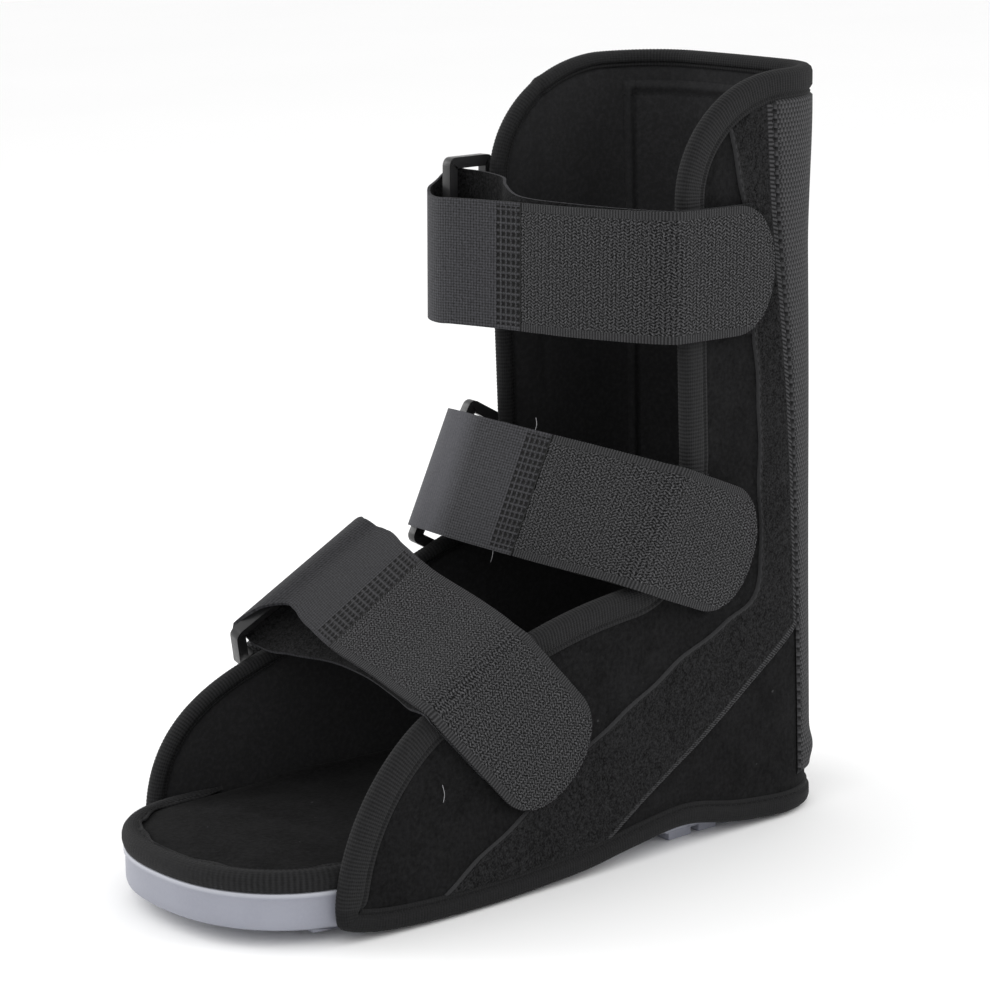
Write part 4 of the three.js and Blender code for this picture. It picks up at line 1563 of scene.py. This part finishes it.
@dataclass
class Sole:
    """The moulded sole: a slab with a lip and a lifted toe, on grooved tread blocks."""

    plan: WallPlan
    inset: float = WALL + TAPE + 2 * GAP
    toe_y: float = -86.5
    toe_reach: float = 54.0
    toe_power: float = 2.3
    top: Sequence[tuple[float, float]] = ((-150, 21.6), (-110, 20.4), (-60, 19), (0, 18.5), (160, 18.5))
    under: Sequence[tuple[float, float]] = ((-150, 7), (-110, 5.6), (-84, 5), (160, 5))
    tread: Sequence[tuple[float, float]] = ((-105, 4.4), (-84, 1.8), (-62, 0), (126, 0), (142, 1.6))
    tread_inset: float = 5.0
    blocks: Sequence[tuple[float, float]] = (
        (-105, -94), (-90, -78), (-74, -62), (-58, -46), (-42, -30), (-26, -14), (-10, 12.4),
        (65.6, 78), (82, 92), (96, 106), (110, 142),
    )
    pads: Sequence[tuple[float, float]] = ((-106, 14), (64, 142))
    groove: float = 3.0
    block_root: float = 0.6
    block_bevel: float = 0.5
    pad_top: float = 6.6
    lip: float = 0.8

    def outline(self, inset: float, steps: int = 220) -> Array:
        """The sole's outline drawn in by a distance.

        Args:
            inset: The distance.
            steps: Number of points.

        Returns:
            A closed line of (x, y), starting at the toe.
        """
        half_plan = slice(0, self.plan.middle + 1)
        side = self.plan.line[half_plan] - self.plan.normal[half_plan] * (self.inset + inset)
        side = side[side[:, 1] > self.toe_y + 4]
        side[-1, 0] = 0
        half = float(self.plan.half_width(np.array(self.toe_y))) - self.inset - inset
        angle = np.linspace(0, math.pi / 2, 60)
        round_x, round_y = (turn(angle) ** (2 / self.toe_power) for turn in (np.sin, np.cos))
        toe = np.stack([half * round_x, self.toe_y - (self.toe_reach - inset) * round_y], axis=1)
        left = resampled(np.concatenate([toe, side]), 1.0)
        left = resampled(left, lengths(left)[-1] / (steps / 2))
        return np.concatenate([left, (left * (-1, 1))[::-1][1:-1]])

    def height(self, rows: Sequence[tuple[float, float]], y: Array) -> Array:
        """Height of a side profile at places along the shoe."""
        table = np.array(rows)
        return np.interp(y, table[:, 0], table[:, 1])

    def slab(self) -> bpy.types.Object:
        """Models the slab from bridged circles.

        Returns:
            The slab.
        """
        # Columns: inset, then the distance below the top face or above the under face.
        upper = ((1.1, 0.0), (0.25, 0.35), (0.0, 1.0), (0.0, 2.0), (0.35, 2.6), (0.55, 3.2))
        lower = ((0.45, 5.0), (0.5, 2.2), (0.9, 0.9), (1.8, 0.2), (3.0, 0.0))
        profile = [(inset, self.top, -depth) for inset, depth in upper]
        profile += [(inset, self.under, rise) for inset, rise in lower]
        loops = []
        for inset, face, off in profile:
            ring = self.outline(inset)
            bpy.ops.mesh.primitive_circle_add(vertices=len(ring), radius=1, fill_type="NOTHING")
            obj = bpy.context.object
            z = self.height(face, ring[:, 1]) + off
            co = np.concatenate([ring, z[:, None]], axis=1) * MM
            obj.data.vertices.foreach_set("co", co.astype(np.float32).ravel())
            loops.append(obj)
        obj = joined("foam_sole", loops)
        with editing(obj):
            bpy.ops.mesh.bridge_edge_loops()
        close_holes(obj)
        return obj

    def block(self, y0: float, y1: float, low: Optional[float], high: float) -> bpy.types.Object:
        """A tread block across the sole.

        Args:
            y0: Its front end.
            y1: Its rear end.
            low: Its lower face; the tread's own profile when left out.
            high: Its upper face.

        Returns:
            The block.
        """
        ring = self.outline(self.tread_inset, 400)
        right = ring[ring[:, 0] > 0]
        bpy.ops.mesh.primitive_cube_add(size=2)
        obj = bpy.context.object
        with editing(obj):
            bpy.ops.mesh.subdivide(number_cuts=5)
        for vertex in obj.data.vertices:
            y = y0 + (y1 - y0) * (vertex.co.y + 1) / 2
            x = float(np.interp(y, right[:, 1], right[:, 0])) * vertex.co.x
            floor = float(self.height(self.tread, np.array(y))) if low is None else low
            vertex.co = Vector((x, y, floor + (high - floor) * (vertex.co.z + 1) / 2)) * MM
        modify(obj, "BEVEL", width=self.block_bevel * MM, segments=2, limit_method="ANGLE",
               angle_limit=math.radians(50))
        return obj

    def build(self) -> bpy.types.Object:
        """Makes the whole sole, marked along its lip where the foam paints a highlight.

        Returns:
            The sole.
        """
        parts = [self.slab()]
        parts += [self.block(a, b, None, self.groove + self.block_root) for a, b in self.blocks]
        parts += [self.block(a, b, self.groove, self.pad_top) for a, b in self.pads]
        obj = cleaned(joined("foam_sole", parts), 32)
        place = places(obj) / MM
        depth = self.height(self.top, place[:, 1]) - place[:, 2]
        # The lip mark is the band where the foam paints its highlight.
        mark(obj, "lip", 1 - smoothstep(self.lip, 2 * self.lip, depth))
        return obj

    def dress(self, foam: FoamFinish) -> None:
        """Builds the sole and gives it its foam."""
        dressed(self.build(), foam.material(), Slot.SOLE, "sole")


@dataclass(frozen=True)
class Inflation:
    """A short cloth simulation that swells a closed pad, as its filling does."""

    voxel: float = 3.0
    pressure: float = 4.0
    frames: int = 20
    most: float = 0.7

    def swell(self, obj: bpy.types.Object) -> None:
        """Remeshes a pad evenly and swells it, each point by no more than a set distance.

        Args:
            obj: The pad.
        """
        modify(obj, "REMESH", mode="VOXEL", voxel_size=self.voxel * MM)
        before = places(obj)
        select_only(obj)
        modifier = obj.modifiers.new("swell", "CLOTH")
        modifier.settings.use_pressure = True
        modifier.settings.uniform_pressure_force = self.pressure
        modifier.settings.effector_weights.gravity = 0.0
        modifier.point_cache.frame_end = self.frames
        for number in range(1, self.frames + 1):
            bpy.context.scene.frame_set(number)
        bpy.ops.object.modifier_apply(modifier=modifier.name)
        step = places(obj) - before
        size = np.maximum(np.linalg.norm(step, axis=1, keepdims=True), TINY)
        after = before + step * np.minimum(1, self.most * MM / size)
        obj.data.vertices.foreach_set("co", after.astype(np.float32).ravel())
        LOG.info("%s swollen by up to %.2f mm", obj.name, float(np.minimum(size / MM, self.most).max()))
        modify(obj, "SMOOTH", factor=0.5, iterations=4)
        modify(obj, "SUBSURF", levels=1, render_levels=1)


@dataclass
class Footbed:
    """The felt-covered pad on the sole and the tape round its toe edge."""

    sole: Sole
    stitching: Stitching
    inflation: Inflation = field(default_factory=Inflation)
    pad: float = 6.0
    face: float = 6.05
    sunk: float = 0.3
    spine: tuple[float, float] = (-95.0, 110.0)
    dome: float = 1.6
    cove: float = 3.2
    cove_from: float = 5.0
    tape_end: float = -72.0
    rib: float = 2.2
    rib_rise: float = 0.2
    taper: float = 16.0
    curls: Sequence[float] = (62.0, 74.0, 96.0)
    curl_wide: float = 4.0

    def cushion(self) -> bpy.types.Object:
        """Makes the pad as rings drawn in from its outline to its middle line.

        Returns:
            The swollen pad.
        """
        ring = self.sole.outline(TAPE + GAP, 260)
        closed = np.concatenate([ring, ring[:1]])
        # Columns: how far the ring is drawn in to the middle line, and its rise.
        profile = [(0.0, 0.35), (0.0, 1.2), (0.0, 4.2), (0.006, 5.2), (0.02, 5.8), (0.05, self.face)]
        profile += [(share, self.face) for share in np.linspace(0.1, 1.0, 22)]
        rows = []
        for share, rise in profile:
            y = closed[:, 1] + (np.clip(closed[:, 1], *self.spine) - closed[:, 1]) * share
            x = closed[:, 0] * (1 - share)
            base = self.sole.height(self.sole.top, y)
            dome = self.dome * smoothstep(0.0, 0.7, np.array(share)) if rise > self.pad else 0.0
            cove = self.cove * smoothstep(-80, -40, y) if rise > self.cove_from else 0.0
            cove = cove * (1 - smoothstep(0.0, 0.3, np.array(share)))
            rows.append(np.stack([x, y, base + rise + dome + cove - self.sunk], axis=1))
        points = np.array(rows).transpose(1, 0, 2)
        obj = sheet_object("felt_footbed", points, points[..., :2])
        cleaned(obj)
        close_holes(obj)
        self.inflation.swell(cleaned(obj))
        return cleaned(obj)

    def toe_tape(self) -> tuple[bpy.types.Object, Cut]:
        """Makes the ribbed tape folded over the toe edge of the pad.

        Returns:
            The tape and its cut size.
        """
        ring = self.sole.outline(0.0, 800)
        middle = len(ring) // 2
        line = np.concatenate([ring[middle + 1:], ring[:middle + 1]])
        line = resampled(line[line[:, 1] < self.tape_end], 0.36)
        along = lengths(line)
        way = tangents(line)
        inward = np.stack([-way[:, 1], way[:, 0]], axis=1)
        if (inward[len(line) // 2] @ np.array((0, 1))) < 0:
            inward = -inward
        top = self.pad + 2 * GAP + TAPE
        # Columns: distance in from the toe edge, and height.
        profile = np.array([
            (0.2, GAP - 0.1), (-0.05, 0.9), (-0.3, 2.5), (-0.25, 4.3), (0.25, 5.9), (1.2, 7.0),
            (2.5, top + 0.1), (4.0, top + 0.15), (5.2, top - 0.25), (6.0, top - 0.75), (6.6, top - 0.95),
            (7.3, top - 0.55), (7.8, top - 0.75), (7.9, top - 1.3),
        ])
        across = lengths(profile)
        rise = self.rib_rise * ribs(along, self.rib)[:, None] * both_ends(0.4, 1.6, across, across[-1])
        wobble = (0.6 * np.sin(along / 9) + 0.45 * np.sin(along / 4.1 + 1))[:, None]
        curl = sum(Ridge(1.0, at, self.curl_wide).at(along) for at in self.curls)[:, None]
        inner = smoothstep(5, 7.4, profile[:, 0])[None, :]
        taper = both_ends(0, self.taper, along, along[-1])[:, None]
        d = (profile[None, :, 0] + (wobble - 0.8 * curl) * inner) * (0.3 + 0.7 * taper)
        d = d - rise * (profile[None, :, 1] < self.pad)
        h = profile[None, :, 1] + rise * (profile[None, :, 1] >= self.pad)
        h = h + (0.3 * np.abs(wobble) + 0.7 * curl) * inner
        h = h - (1 - taper) * 0.9 * smoothstep(4, 7, profile[:, 1])[None, :]
        xy = line[:, None] + inward[:, None] * d[..., None]
        z = self.sole.height(self.sole.top, xy[..., 1]) + h
        points = np.concatenate([xy, z[..., None]], axis=-1)
        flat = pattern_of(across[None, :], along[:, None])
        self.stitching.run(points[:, 9], np.tile((0.0, 0.0, 1.0), (len(line), 1)), 3.0)
        return sheet_object("toe_tape", points, flat), Cut.of(flat)

    def dress(self, felt: FeltFinish, tape: RibTapeFinish) -> None:
        """Builds the pad and its tape.

        Args:
            felt: Finish of the pad.
            tape: Finish of the tape.
        """
        dressed(self.cushion(), felt.material(), Slot.FELT, "footbed")
        cloth = tape.material()
        tailored(self.toe_tape(), cloth, Slot.TAPE, "footbed_binding", Hold.FOLDED, "felt_footbed")


# ---------------------------------------------------------------- straps and rings


@dataclass
class StrapPath:
    """One strap: its ring on the right wall and the centre line of its two tapes.

    Rows are (place, y, z, lean); a place is x, or the distance from the left wall where on_wall says so.
    """

    name: str
    plan: WallPlan
    ring_lean: float
    hinge: tuple[float, float]
    swing: float
    seam: float
    rows: Sequence[tuple[float, float, float, float]]
    on_wall: Sequence[int] = (0, 1, 2, -2, -1)
    half: float = 25.0
    points: Array = field(init=False)

    def __post_init__(self) -> None:
        """Works out the points of the centre line."""
        points = np.array([row[:3] for row in self.rows], float)
        for i in self.on_wall:
            points[i, 0] += float(self.plan.half_width(points[i, 1]))
        self.points = points

    def centre(self, place: Array) -> Array:
        """Points on the centre line.

        Args:
            place: Row numbers, with fractions.

        Returns:
            The points.
        """
        points = self.points
        count = len(points)
        i = np.clip(np.floor(place).astype(int), 0, count - 2)
        w = place - i
        first, last = 2 * points[0] - points[1], 2 * points[-1] - points[-2]
        padded = np.concatenate([[first], points, [last]])
        p0, p1, p2, p3 = (padded[i + k] for k in range(4))
        d0, d1, d2 = (np.maximum(np.linalg.norm(b - a, axis=1) ** 0.5, 1e-4)[:, None]
                      for a, b in ((p0, p1), (p1, p2), (p2, p3)))
        t1 = ((p1 - p0) / d0 - (p2 - p0) / (d0 + d1) + (p2 - p1) / d1) * d1
        t2 = ((p2 - p1) / d1 - (p3 - p1) / (d1 + d2) + (p3 - p2) / d2) * d1
        w = w[:, None]
        return (p1 + t1 * w + (-3 * p1 + 3 * p2 - 2 * t1 - t2) * w**2
                + (2 * p1 - 2 * p2 + t1 + t2) * w**3)

    def lean(self, place: Array) -> Array:
        """Width directions at row numbers."""
        turn = np.radians(np.interp(place, np.arange(len(self.rows)), [row[3] for row in self.rows]))
        return np.stack([0 * turn, np.sin(turn), np.cos(turn)], axis=1)

    def stations(self, start: float, end: float, at: Callable[[float], Array]) -> tuple:
        """Centres, width vectors and face directions along a stretch.

        Args:
            start: First row number.
            end: Last row number.
            at: Gives the distances wanted, from the stretch's length.

        Returns:
            Distances, centres, width vectors and face directions.
        """
        fine = np.linspace(start, end, 1600)
        along = lengths(self.centre(fine))
        want = at(float(along[-1]))
        place = np.interp(want, along, fine)
        centre = self.centre(place)
        way = sampled(want, along, tangents(self.centre(fine)))
        width = self.lean(place)
        face = np.cross(way, width)
        size = np.linalg.norm(face, axis=1, keepdims=True)
        return want, centre, width / size, face / size

    def ring_frame(self) -> dict[str, Vector]:
        """The ring's axes and its two bars.

        Returns:
            Directions out of the wall, off its edge, along the bars and across the ring, and the middles of
            its seat and of its rear and front bars.
        """
        y, z = self.hinge
        x = float(self.plan.half_width(np.array(y)))
        slope = (float(self.plan.half_width(np.array(y + 1.0))) - x)
        out = Vector((-1, -slope, 0)).normalized()
        turn = math.radians(self.ring_lean)
        off = Vector((0, math.sin(turn), math.cos(turn))).cross(out).normalized()
        seat = Vector((-x - float(self.plan.flare_at(np.array(y))), y, z))
        rear = seat + out * (GAP + TAPE + GAP + TAB_LAYER + TAB_EYE)
        swing = math.radians(self.swing)
        reach = off * math.cos(swing) - out * math.sin(swing)
        return {"out": out, "off": off, "long": out.cross(off), "seat": seat, "rear": rear,
                "reach": reach, "front": rear + reach * RING_PITCH}


@dataclass
class Strap:
    """The hook tongue and the loop tape of one strap."""

    path: StrapPath
    tip: float = 22.0
    power: float = 2.1
    hook_thick: float = 1.5
    loop_thick: float = 1.2
    pitch: float = 2.75
    hole_rows: int = 5
    hole_depth: float = 0.4
    margin: float = 1.6

    def tongue_rows(self, length: float) -> Array:
        """Distances of the hook tape's rows, close together round its tip.

        Args:
            length: The tape's length.

        Returns:
            The distances from the tip.
        """
        turn = np.sin(np.linspace(0.06, 1, 16) * math.pi / 2)
        tip = self.tip * (1 - (1 - turn**self.power) ** (1 / self.power))
        return np.concatenate([tip, np.arange(self.tip + 1.2, length, 1.2), [length]])

    def tape_rows(self, length: float) -> Array:
        """Distances of the loop tape's rows, close together at its needle holes.

        Args:
            length: The tape's length.

        Returns:
            The distances from the seam.
        """
        zone = self.pitch * self.hole_rows + 1
        return np.concatenate([np.arange(0, zone, 0.69), np.arange(zone, length, 1.5), [length]])

    def tongue(self) -> tuple[bpy.types.Object, Cut]:
        """Makes the hook tape with its rounded tip.

        Returns:
            The tape and its cut size.
        """
        along, centre, width, face = self.path.stations(0, self.path.seam - 0.01, self.tongue_rows)
        inner = np.clip(along / self.tip, 0, 1)
        share = (1 - (1 - inner) ** self.power) ** (1 / self.power)
        u = np.linspace(-1, 1, 46)
        across = self.path.half * share[:, None] * u[None, :]
        rng = np.random.default_rng(11)
        lift = rng.normal(0, 0.04, across.shape)
        points = centre[:, None] + width[:, None] * across[..., None] + face[:, None] * lift[..., None]
        flat = pattern_of(across, along[:, None])
        obj = sheet_object(f"hook_tongue_{self.path.name}", points, flat)
        modify(obj, "SOLIDIFY", thickness=self.hook_thick * MM, offset=0.0)
        return cleaned(obj, 50), Cut.of(flat)

    def tape(self) -> tuple[bpy.types.Object, Cut]:
        """Makes the loop tape from the seam round the ring to its sewn end.

        Returns:
            The tape and its cut size.
        """
        end = len(self.path.rows) - 1
        along, centre, width, face = self.path.stations(self.path.seam, end, self.tape_rows)
        u = np.linspace(-self.path.half, self.path.half, 74)
        across = np.broadcast_to(u, (len(along), len(u)))
        fraction_u = np.mod(u / self.pitch, 1) - 0.5
        fraction_v = np.mod(along / self.pitch, 1) - 0.5
        reach = np.hypot(fraction_u[None, :], fraction_v[:, None])
        hole = (1 - smoothstep(0.22, 0.42, reach)) * (along < self.pitch * self.hole_rows)[:, None]
        hole = hole * (np.abs(u) < self.path.half - self.margin)[None, :]
        sunk = face[:, None] * (self.hole_depth * hole)[..., None]
        points = centre[:, None] + width[:, None] * across[..., None] + sunk
        flat = pattern_of(across, along[:, None])
        obj = sheet_object(f"loop_tape_{self.path.name}", points, flat)
        two_faced(obj)
        modify(obj, "SOLIDIFY", thickness=self.loop_thick * MM, offset=0.0, material_offset=1,
               material_offset_rim=1)
        return cleaned(obj, 50), Cut.of(flat)

    def dress(self, hook: bpy.types.Material, pile: bpy.types.Material, back: bpy.types.Material) -> None:
        """Builds both tapes and gives them their cloths.

        Args:
            hook: Material of the hook tape.
            pile: Material of the loop tape's face.
            back: Material of the loop tape's back.
        """
        node, ring = f"strap_{self.path.name}", f"plastic_ring_{self.path.name}"
        tailored(self.tongue(), hook, Slot.HOOK, f"{node}_hook", Hold.LAID, "pile_strip_left")
        tailored(self.tape(), (pile, back), Slot.TAPE_BACK, f"{node}_loop", Hold.FOLDED, ring)


@dataclass
class RingMount:
    """One plastic ring and the webbing tab that holds it on the right wall."""

    path: StrapPath
    stitching: Stitching
    bar: float = 4.5
    thick: float = 4.0
    slot_half: float = 27.0
    corner_radius: float = 3.4
    edge_bevel: float = 1.3
    tab_half: float = 24.0
    length: float = 27.0
    flat_run: float = 14.0
    sewn_half: float = 21.0
    stitch: float = 2.8

    def ring(self) -> bpy.types.Object:
        """Models the ring: a plane with its corners rounded, inset, opened, thickened and bevelled.

        Returns:
            The ring.
        """
        axes = self.path.ring_frame()
        bpy.ops.mesh.primitive_plane_add(size=2)
        obj = bpy.context.object
        size = ((self.slot_half + self.bar) * MM, (RING_PITCH + self.bar) / 2 * MM, 1)
        with editing(obj):
            bpy.ops.transform.resize(value=size, center_override=(0, 0, 0))
            bpy.ops.mesh.bevel(offset=self.corner_radius * MM, segments=5, affect="VERTICES")
            bpy.ops.mesh.select_all(action="SELECT")
            bpy.ops.mesh.inset(thickness=self.bar * MM, depth=0)
            bpy.ops.mesh.delete(type="FACE")
        modify(obj, "SOLIDIFY", thickness=self.thick * MM, offset=0.0)
        modify(obj, "BEVEL", width=self.edge_bevel * MM, segments=4, limit_method="ANGLE",
               angle_limit=math.radians(40))
        middle = (axes["rear"] + axes["front"]) / 2 * MM
        first, second = axes["long"], axes["reach"]
        turn = Matrix((first, second, first.cross(second).normalized())).transposed().to_4x4()
        obj.data.transform(Matrix.Translation(middle) @ turn)
        obj.name = f"plastic_ring_{self.path.name}"
        return cleaned(obj, 40)

    def tab(self) -> tuple[bpy.types.Object, Cut]:
        """Makes the tab: webbing doubled on the wall and turned round the ring's rear bar.

        Returns:
            The tab and its cut size.
        """
        axes = self.path.ring_frame()
        middle = TAB_LAYER / 2
        low = GAP + TAPE + GAP + middle
        lift = GAP + TAPE + GAP + TAB_LAYER + TAB_EYE
        bend = TAB_EYE + middle
        tail = -bend - self.flat_run - 0.5
        # Columns: distance off the wall's edge, and distance out of its face.
        under = [(-self.length, GAP + middle), (tail - 2, GAP + middle), (tail, low), (tail / 2, low)]
        turn = np.linspace(-math.pi / 2, math.pi / 2, 14)
        eye = [(bend * math.cos(a), lift + bend * math.sin(a)) for a in turn]
        top = TAB_LAYER + 0.1
        over = [
            (-3.0, lift + bend - 0.6), (-7.0, low + top + 1.6), (-11.0, low + top + 0.1), (tail, low + top),
            (tail - 2, GAP + middle + top), (-self.length, GAP + middle + top),
        ]
        line = resampled(catmull(under + eye + over, 220), 0.8)
        across = np.linspace(-self.tab_half, self.tab_half, 40)
        s, t = line[:, 0], line[:, 1]
        off, out, long, seat = (np.array(axes[k]) for k in ("off", "out", "long", "seat"))
        points = (seat + s[:, None, None] * off + t[:, None, None] * out
                  + across[None, :, None] * long)
        flat = pattern_of(across[None, :], lengths(line)[:, None])
        obj = sheet_object(f"webbing_tab_{self.path.name}", points, flat)
        modify(obj, "SOLIDIFY", thickness=(TAB_LAYER - 0.05) * MM, offset=0.0)
        face = seat + (GAP + 2 * TAB_LAYER + 0.1) * out
        ends, sides = (2.5 - self.length, tail - 4), (-self.sewn_half, self.sewn_half)
        for place in ends:
            row = np.array([face + place * off + a * long for a in np.linspace(*sides, 60)])
            self.stitching.run(row, np.tile(out, (60, 1)), self.stitch)
        for side in sides:
            row = np.array([face + place * off + side * long for place in np.linspace(*ends, 30)])
            self.stitching.run(row, np.tile(out, (30, 1)), self.stitch)
        return cleaned(obj, 50), Cut.of(flat)

    def dress(self, plastic: bpy.types.Material, webbing: bpy.types.Material) -> None:
        """Builds the ring and its tab.

        Args:
            plastic: Material of the ring.
            webbing: Material of the tab.
        """
        ring = dressed(self.ring(), plastic, Slot.RING, f"ring_{self.path.name}")
        node = f"ring_tab_{self.path.name}"
        tailored(self.tab(), webbing, Slot.WEBBING, node, Hold.FOLDED, ring.name)


def strap_paths(plan: WallPlan) -> list[StrapPath]:
    """The three straps, from the top down.

    Args:
        plan: The wall's plan.

    Returns:
        Their paths.
    """
    return [
        StrapPath(
            "top", plan, ring_lean=1.5, hinge=(68, 230), swing=12, seam=5.68,
            rows=(
                (2.7, 113, 224.4, 1.5), (4.05, 100, 224.8, 1.5), (4.05, 70, 225.5, 1.5),
                (62.5, 61, 225.7, 1.5), (56.5, 55.5, 225.8, 1.5), (20, 44.5, 225.2, 1.5),
                (-17, 39, 224.6, 1.5), (-43, 34.2, 224, 1.5), (-51.5, 33.9, 223.5, 1.5),
                (-60, 36.4, 223.9, 1.5), (-66, 41.5, 225.3, 1.5), (-68.5, 48.5, 227.1, 1.5),
                (-65.5, 56.6, 230.8, 1.5), (-57, 58.1, 231.3, 1.5), (-46, 57, 231.2, 1.5),
                (-35, 54.6, 230.6, 1.5), (-26, 48.4, 229, 1.5), (-12, 43.2, 226.8, 1.5),
                (20, 46.8, 226.1, 1.5), (54.5, 57.4, 225.8, 1.5), (60.3, 62, 225.7, 1.5),
                (2.4, 70, 225.5, 1.5), (2.4, 101, 224.7, 1.5),
            ),
        ),
        StrapPath(
            "middle", plan, ring_lean=29.5, hinge=(61, 124.6), swing=5, seam=5.38,
            rows=(
                (2.7, 100, 110.3, 22), (4.05, 87, 115.8, 22), (5.6, 62, 126.1, 27),
                (64.4, 49.2, 131.6, 33), (57.5, 44.4, 133.4, 33), (20, 37, 136.2, 27),
                (-17, 33.2, 137.8, 24.5), (-40, 32.6, 138.3, 23.5), (-49.5, 33, 138.4, 23.5),
                (-58, 34.4, 138, 24.5), (-65.8, 38, 136.7, 26), (-69.3, 43.3, 134.6, 28),
                (-66, 47.3, 133, 29.5), (-57, 48.5, 132.4, 29.5), (-45, 45.3, 133.8, 29),
                (-33, 40.5, 135.8, 27), (-17, 35.4, 137, 25), (20, 39.4, 135.4, 27.5),
                (55.5, 46.5, 132.6, 33), (62, 50.3, 131.4, 33), (3.8, 62, 126.1, 27),
                (2.4, 88, 115.4, 22),
            ),
        ),
        StrapPath(
            "lower", plan, ring_lean=61.5, hinge=(-27.9, 85.3), swing=34, seam=6.2,
            rows=(
                (2.7, 3.9, 41.8, 47.5), (4.05, -8.5, 55.3, 47.5), (4.05, -34, 83.4, 55),
                (67.9, -41.4, 91.9, 61), (62, -42.4, 94.4, 62), (30, -37.6, 98.4, 60.5),
                (0, -34.6, 102.5, 59), (-24, -29.6, 106.4, 60), (-40, -25.4, 109, 61.5),
                (-47, -25, 109.6, 62), (-55, -28.6, 109.4, 62), (-62, -32.8, 104.6, 61.5),
                (-64.4, -34, 98.6, 60.5), (-61, -33, 93.8, 59.5), (-53, -32.6, 92.6, 58.5),
                (-40, -30, 93.4, 57.5), (-20, -26, 94, 56), (10, -28.5, 93.8, 58),
                (40, -35.5, 92.8, 60), (58, -41, 92.3, 62), (63, -41.6, 92.1, 62),
                (66.3, -41.2, 91.2, 62), (2.4, -36, 85.6, 56), (2.4, -19.5, 67.6, 47.5),
            ),
        ),
    ]


# ---------------------------------------------------------------- studio


@dataclass
class Studio:
    """Pale floor, soft light and the camera of the photograph."""

    eye: tuple[float, float, float] = (1032.4, -774.1, 429.5)
    aim: tuple[float, float, float] = (0.0, 20.65, 138.4)
    right: tuple[float, float, float] = (0.6135, 0.7894, -0.0207)
    lens: float = 125.14
    sunk: float = 0.05

    def floor(self) -> None:
        """Lays the floor."""
        bpy.ops.mesh.primitive_plane_add(size=8, location=(0, 0, -self.sunk * MM))
        obj = bpy.context.object
        obj.name = "floor"
        g = Graph("floor_paint")
        g.shade(g.mix(g.noise(3, 2), grey(0.955, 1.0), grey(0.98, 1.0)), 0.9, 0.0, 0.05)
        obj.data.materials.append(g.material)

    def lights(self) -> None:
        """Sets an even bright room and three soft boxes."""
        world = bpy.data.worlds.new("studio")
        bpy.context.scene.world = world
        world.use_nodes = True
        background = world.node_tree.nodes["Background"]
        background.inputs[0].default_value = (1, 1, 1, 1)
        background.inputs[1].default_value = 1.0
        for name, place, aim, size, power in (
            ("left", (-1.2, -0.7, 0.8), (0, 0, 0.15), 1.0, 9.0),
            ("rear_right", (0.9, 1.0, 0.8), (0, 0, 0.15), 1.0, 7.0),
            ("front", (0.8, -1.6, 1.2), (0, 0, 0.1), 1.2, 6.0),
        ):
            data = bpy.data.lights.new(name, "AREA")
            data.size, data.energy = size, power
            obj = linked(name, data)
            obj.location = place
            obj.rotation_euler = (Vector(aim) - Vector(place)).to_track_quat("-Z", "Y").to_euler()

    def camera(self) -> None:
        """Stands the camera where the photograph was taken."""
        data = bpy.data.cameras.new("camera")
        data.lens, data.sensor_width = self.lens, 36.0
        data.dof.use_dof = False
        data.clip_end = 50
        obj = linked("camera", data)
        forward = (Vector(self.aim) - Vector(self.eye)).normalized()
        right = Vector(self.right)
        right = (right - forward * right.dot(forward)).normalized()
        up = right.cross(forward)
        turn = Matrix((right, up, -forward)).transposed().to_4x4()
        obj.matrix_world = Matrix.Translation(Vector(self.eye) * MM) @ turn
        bpy.context.scene.camera = obj

    def build(self) -> None:
        """Sets up the whole studio."""
        self.floor()
        self.lights()
        self.camera()
        bpy.context.scene.view_settings.view_transform = "Standard"


# ---------------------------------------------------------------- main


def main() -> None:
    """Builds every sub-assembly in order and reports its pieces."""
    logging.basicConfig(level=logging.INFO, format="%(name)s: %(message)s")
    plan = WallPlan()
    outline = WallOutline(plan)
    stitching = Stitching()
    felt = FeltFinish("felt")
    tape = RibTapeFinish("rib_tape")
    upper = Upper(plan, outline, stitching)
    lining = FeltFinish("lining", dark=0.0190, light=0.0330, lint=0.15, clouding=0.12)
    # hem_tape is the binding's own tape with finer ribs. It is painted darker and with fainter ribs as
    # painted shade along the hem.
    hem = RibTapeFinish("hem_tape", dark=0.0055, light=0.0165, pitch=1.25, contrast=0.35)
    upper.dress(felt, lining, tape, hem)
    strips = WallStrips(plan, outline, upper, stitching)
    pocket = FeltFinish("pocket_felt", dark=0.0190, light=0.0340, lint=0.15, clouding=0.12)
    strips.dress(PileFinish("loop_pile"), WebbingFinish("webbing"), pocket)
    sole = Sole(plan)
    sole.dress(FoamFinish("sole_foam"))
    footbed = Footbed(sole, stitching)
    footbed_felt = FeltFinish("footbed_felt", dark=0.0016, light=0.0098, lint=0.8)
    footbed.dress(footbed_felt, RibTapeFinish("toe_tape", pitch=footbed.rib))
    hook = HookFinish("hook_tape").material()
    # The three backs are one cloth. The middle back carries a strong painted sheen as a lit copy, and the
    # lower back is painted darker as a shaded copy.
    backs = {
        "top": TapeBackFinish("tape_back_top", fold_sheen=0.15),
        "middle": TapeBackFinish("tape_back_middle", fold_sheen=0.9),
        "lower": TapeBackFinish("tape_back_lower", light=0.038),
    }
    pile = PileFinish("strap_pile", selvage=NOWHERE, ridge=NOWHERE).material()
    plastic = PlasticFinish("ring_plastic").material()
    webbing = WebbingFinish("tab_webbing", pitch=1.4).material()
    for path in strap_paths(plan):
        RingMount(path, stitching).dress(plastic, webbing)
        Strap(path).dress(hook, pile, backs[path.name].material())
    stitching.dress(ThreadFinish("thread"))
    LooseThreads().dress(ThreadFinish("pale_thread", level=0.3))
    Studio().build()


if __name__ == "__main__":
    main()
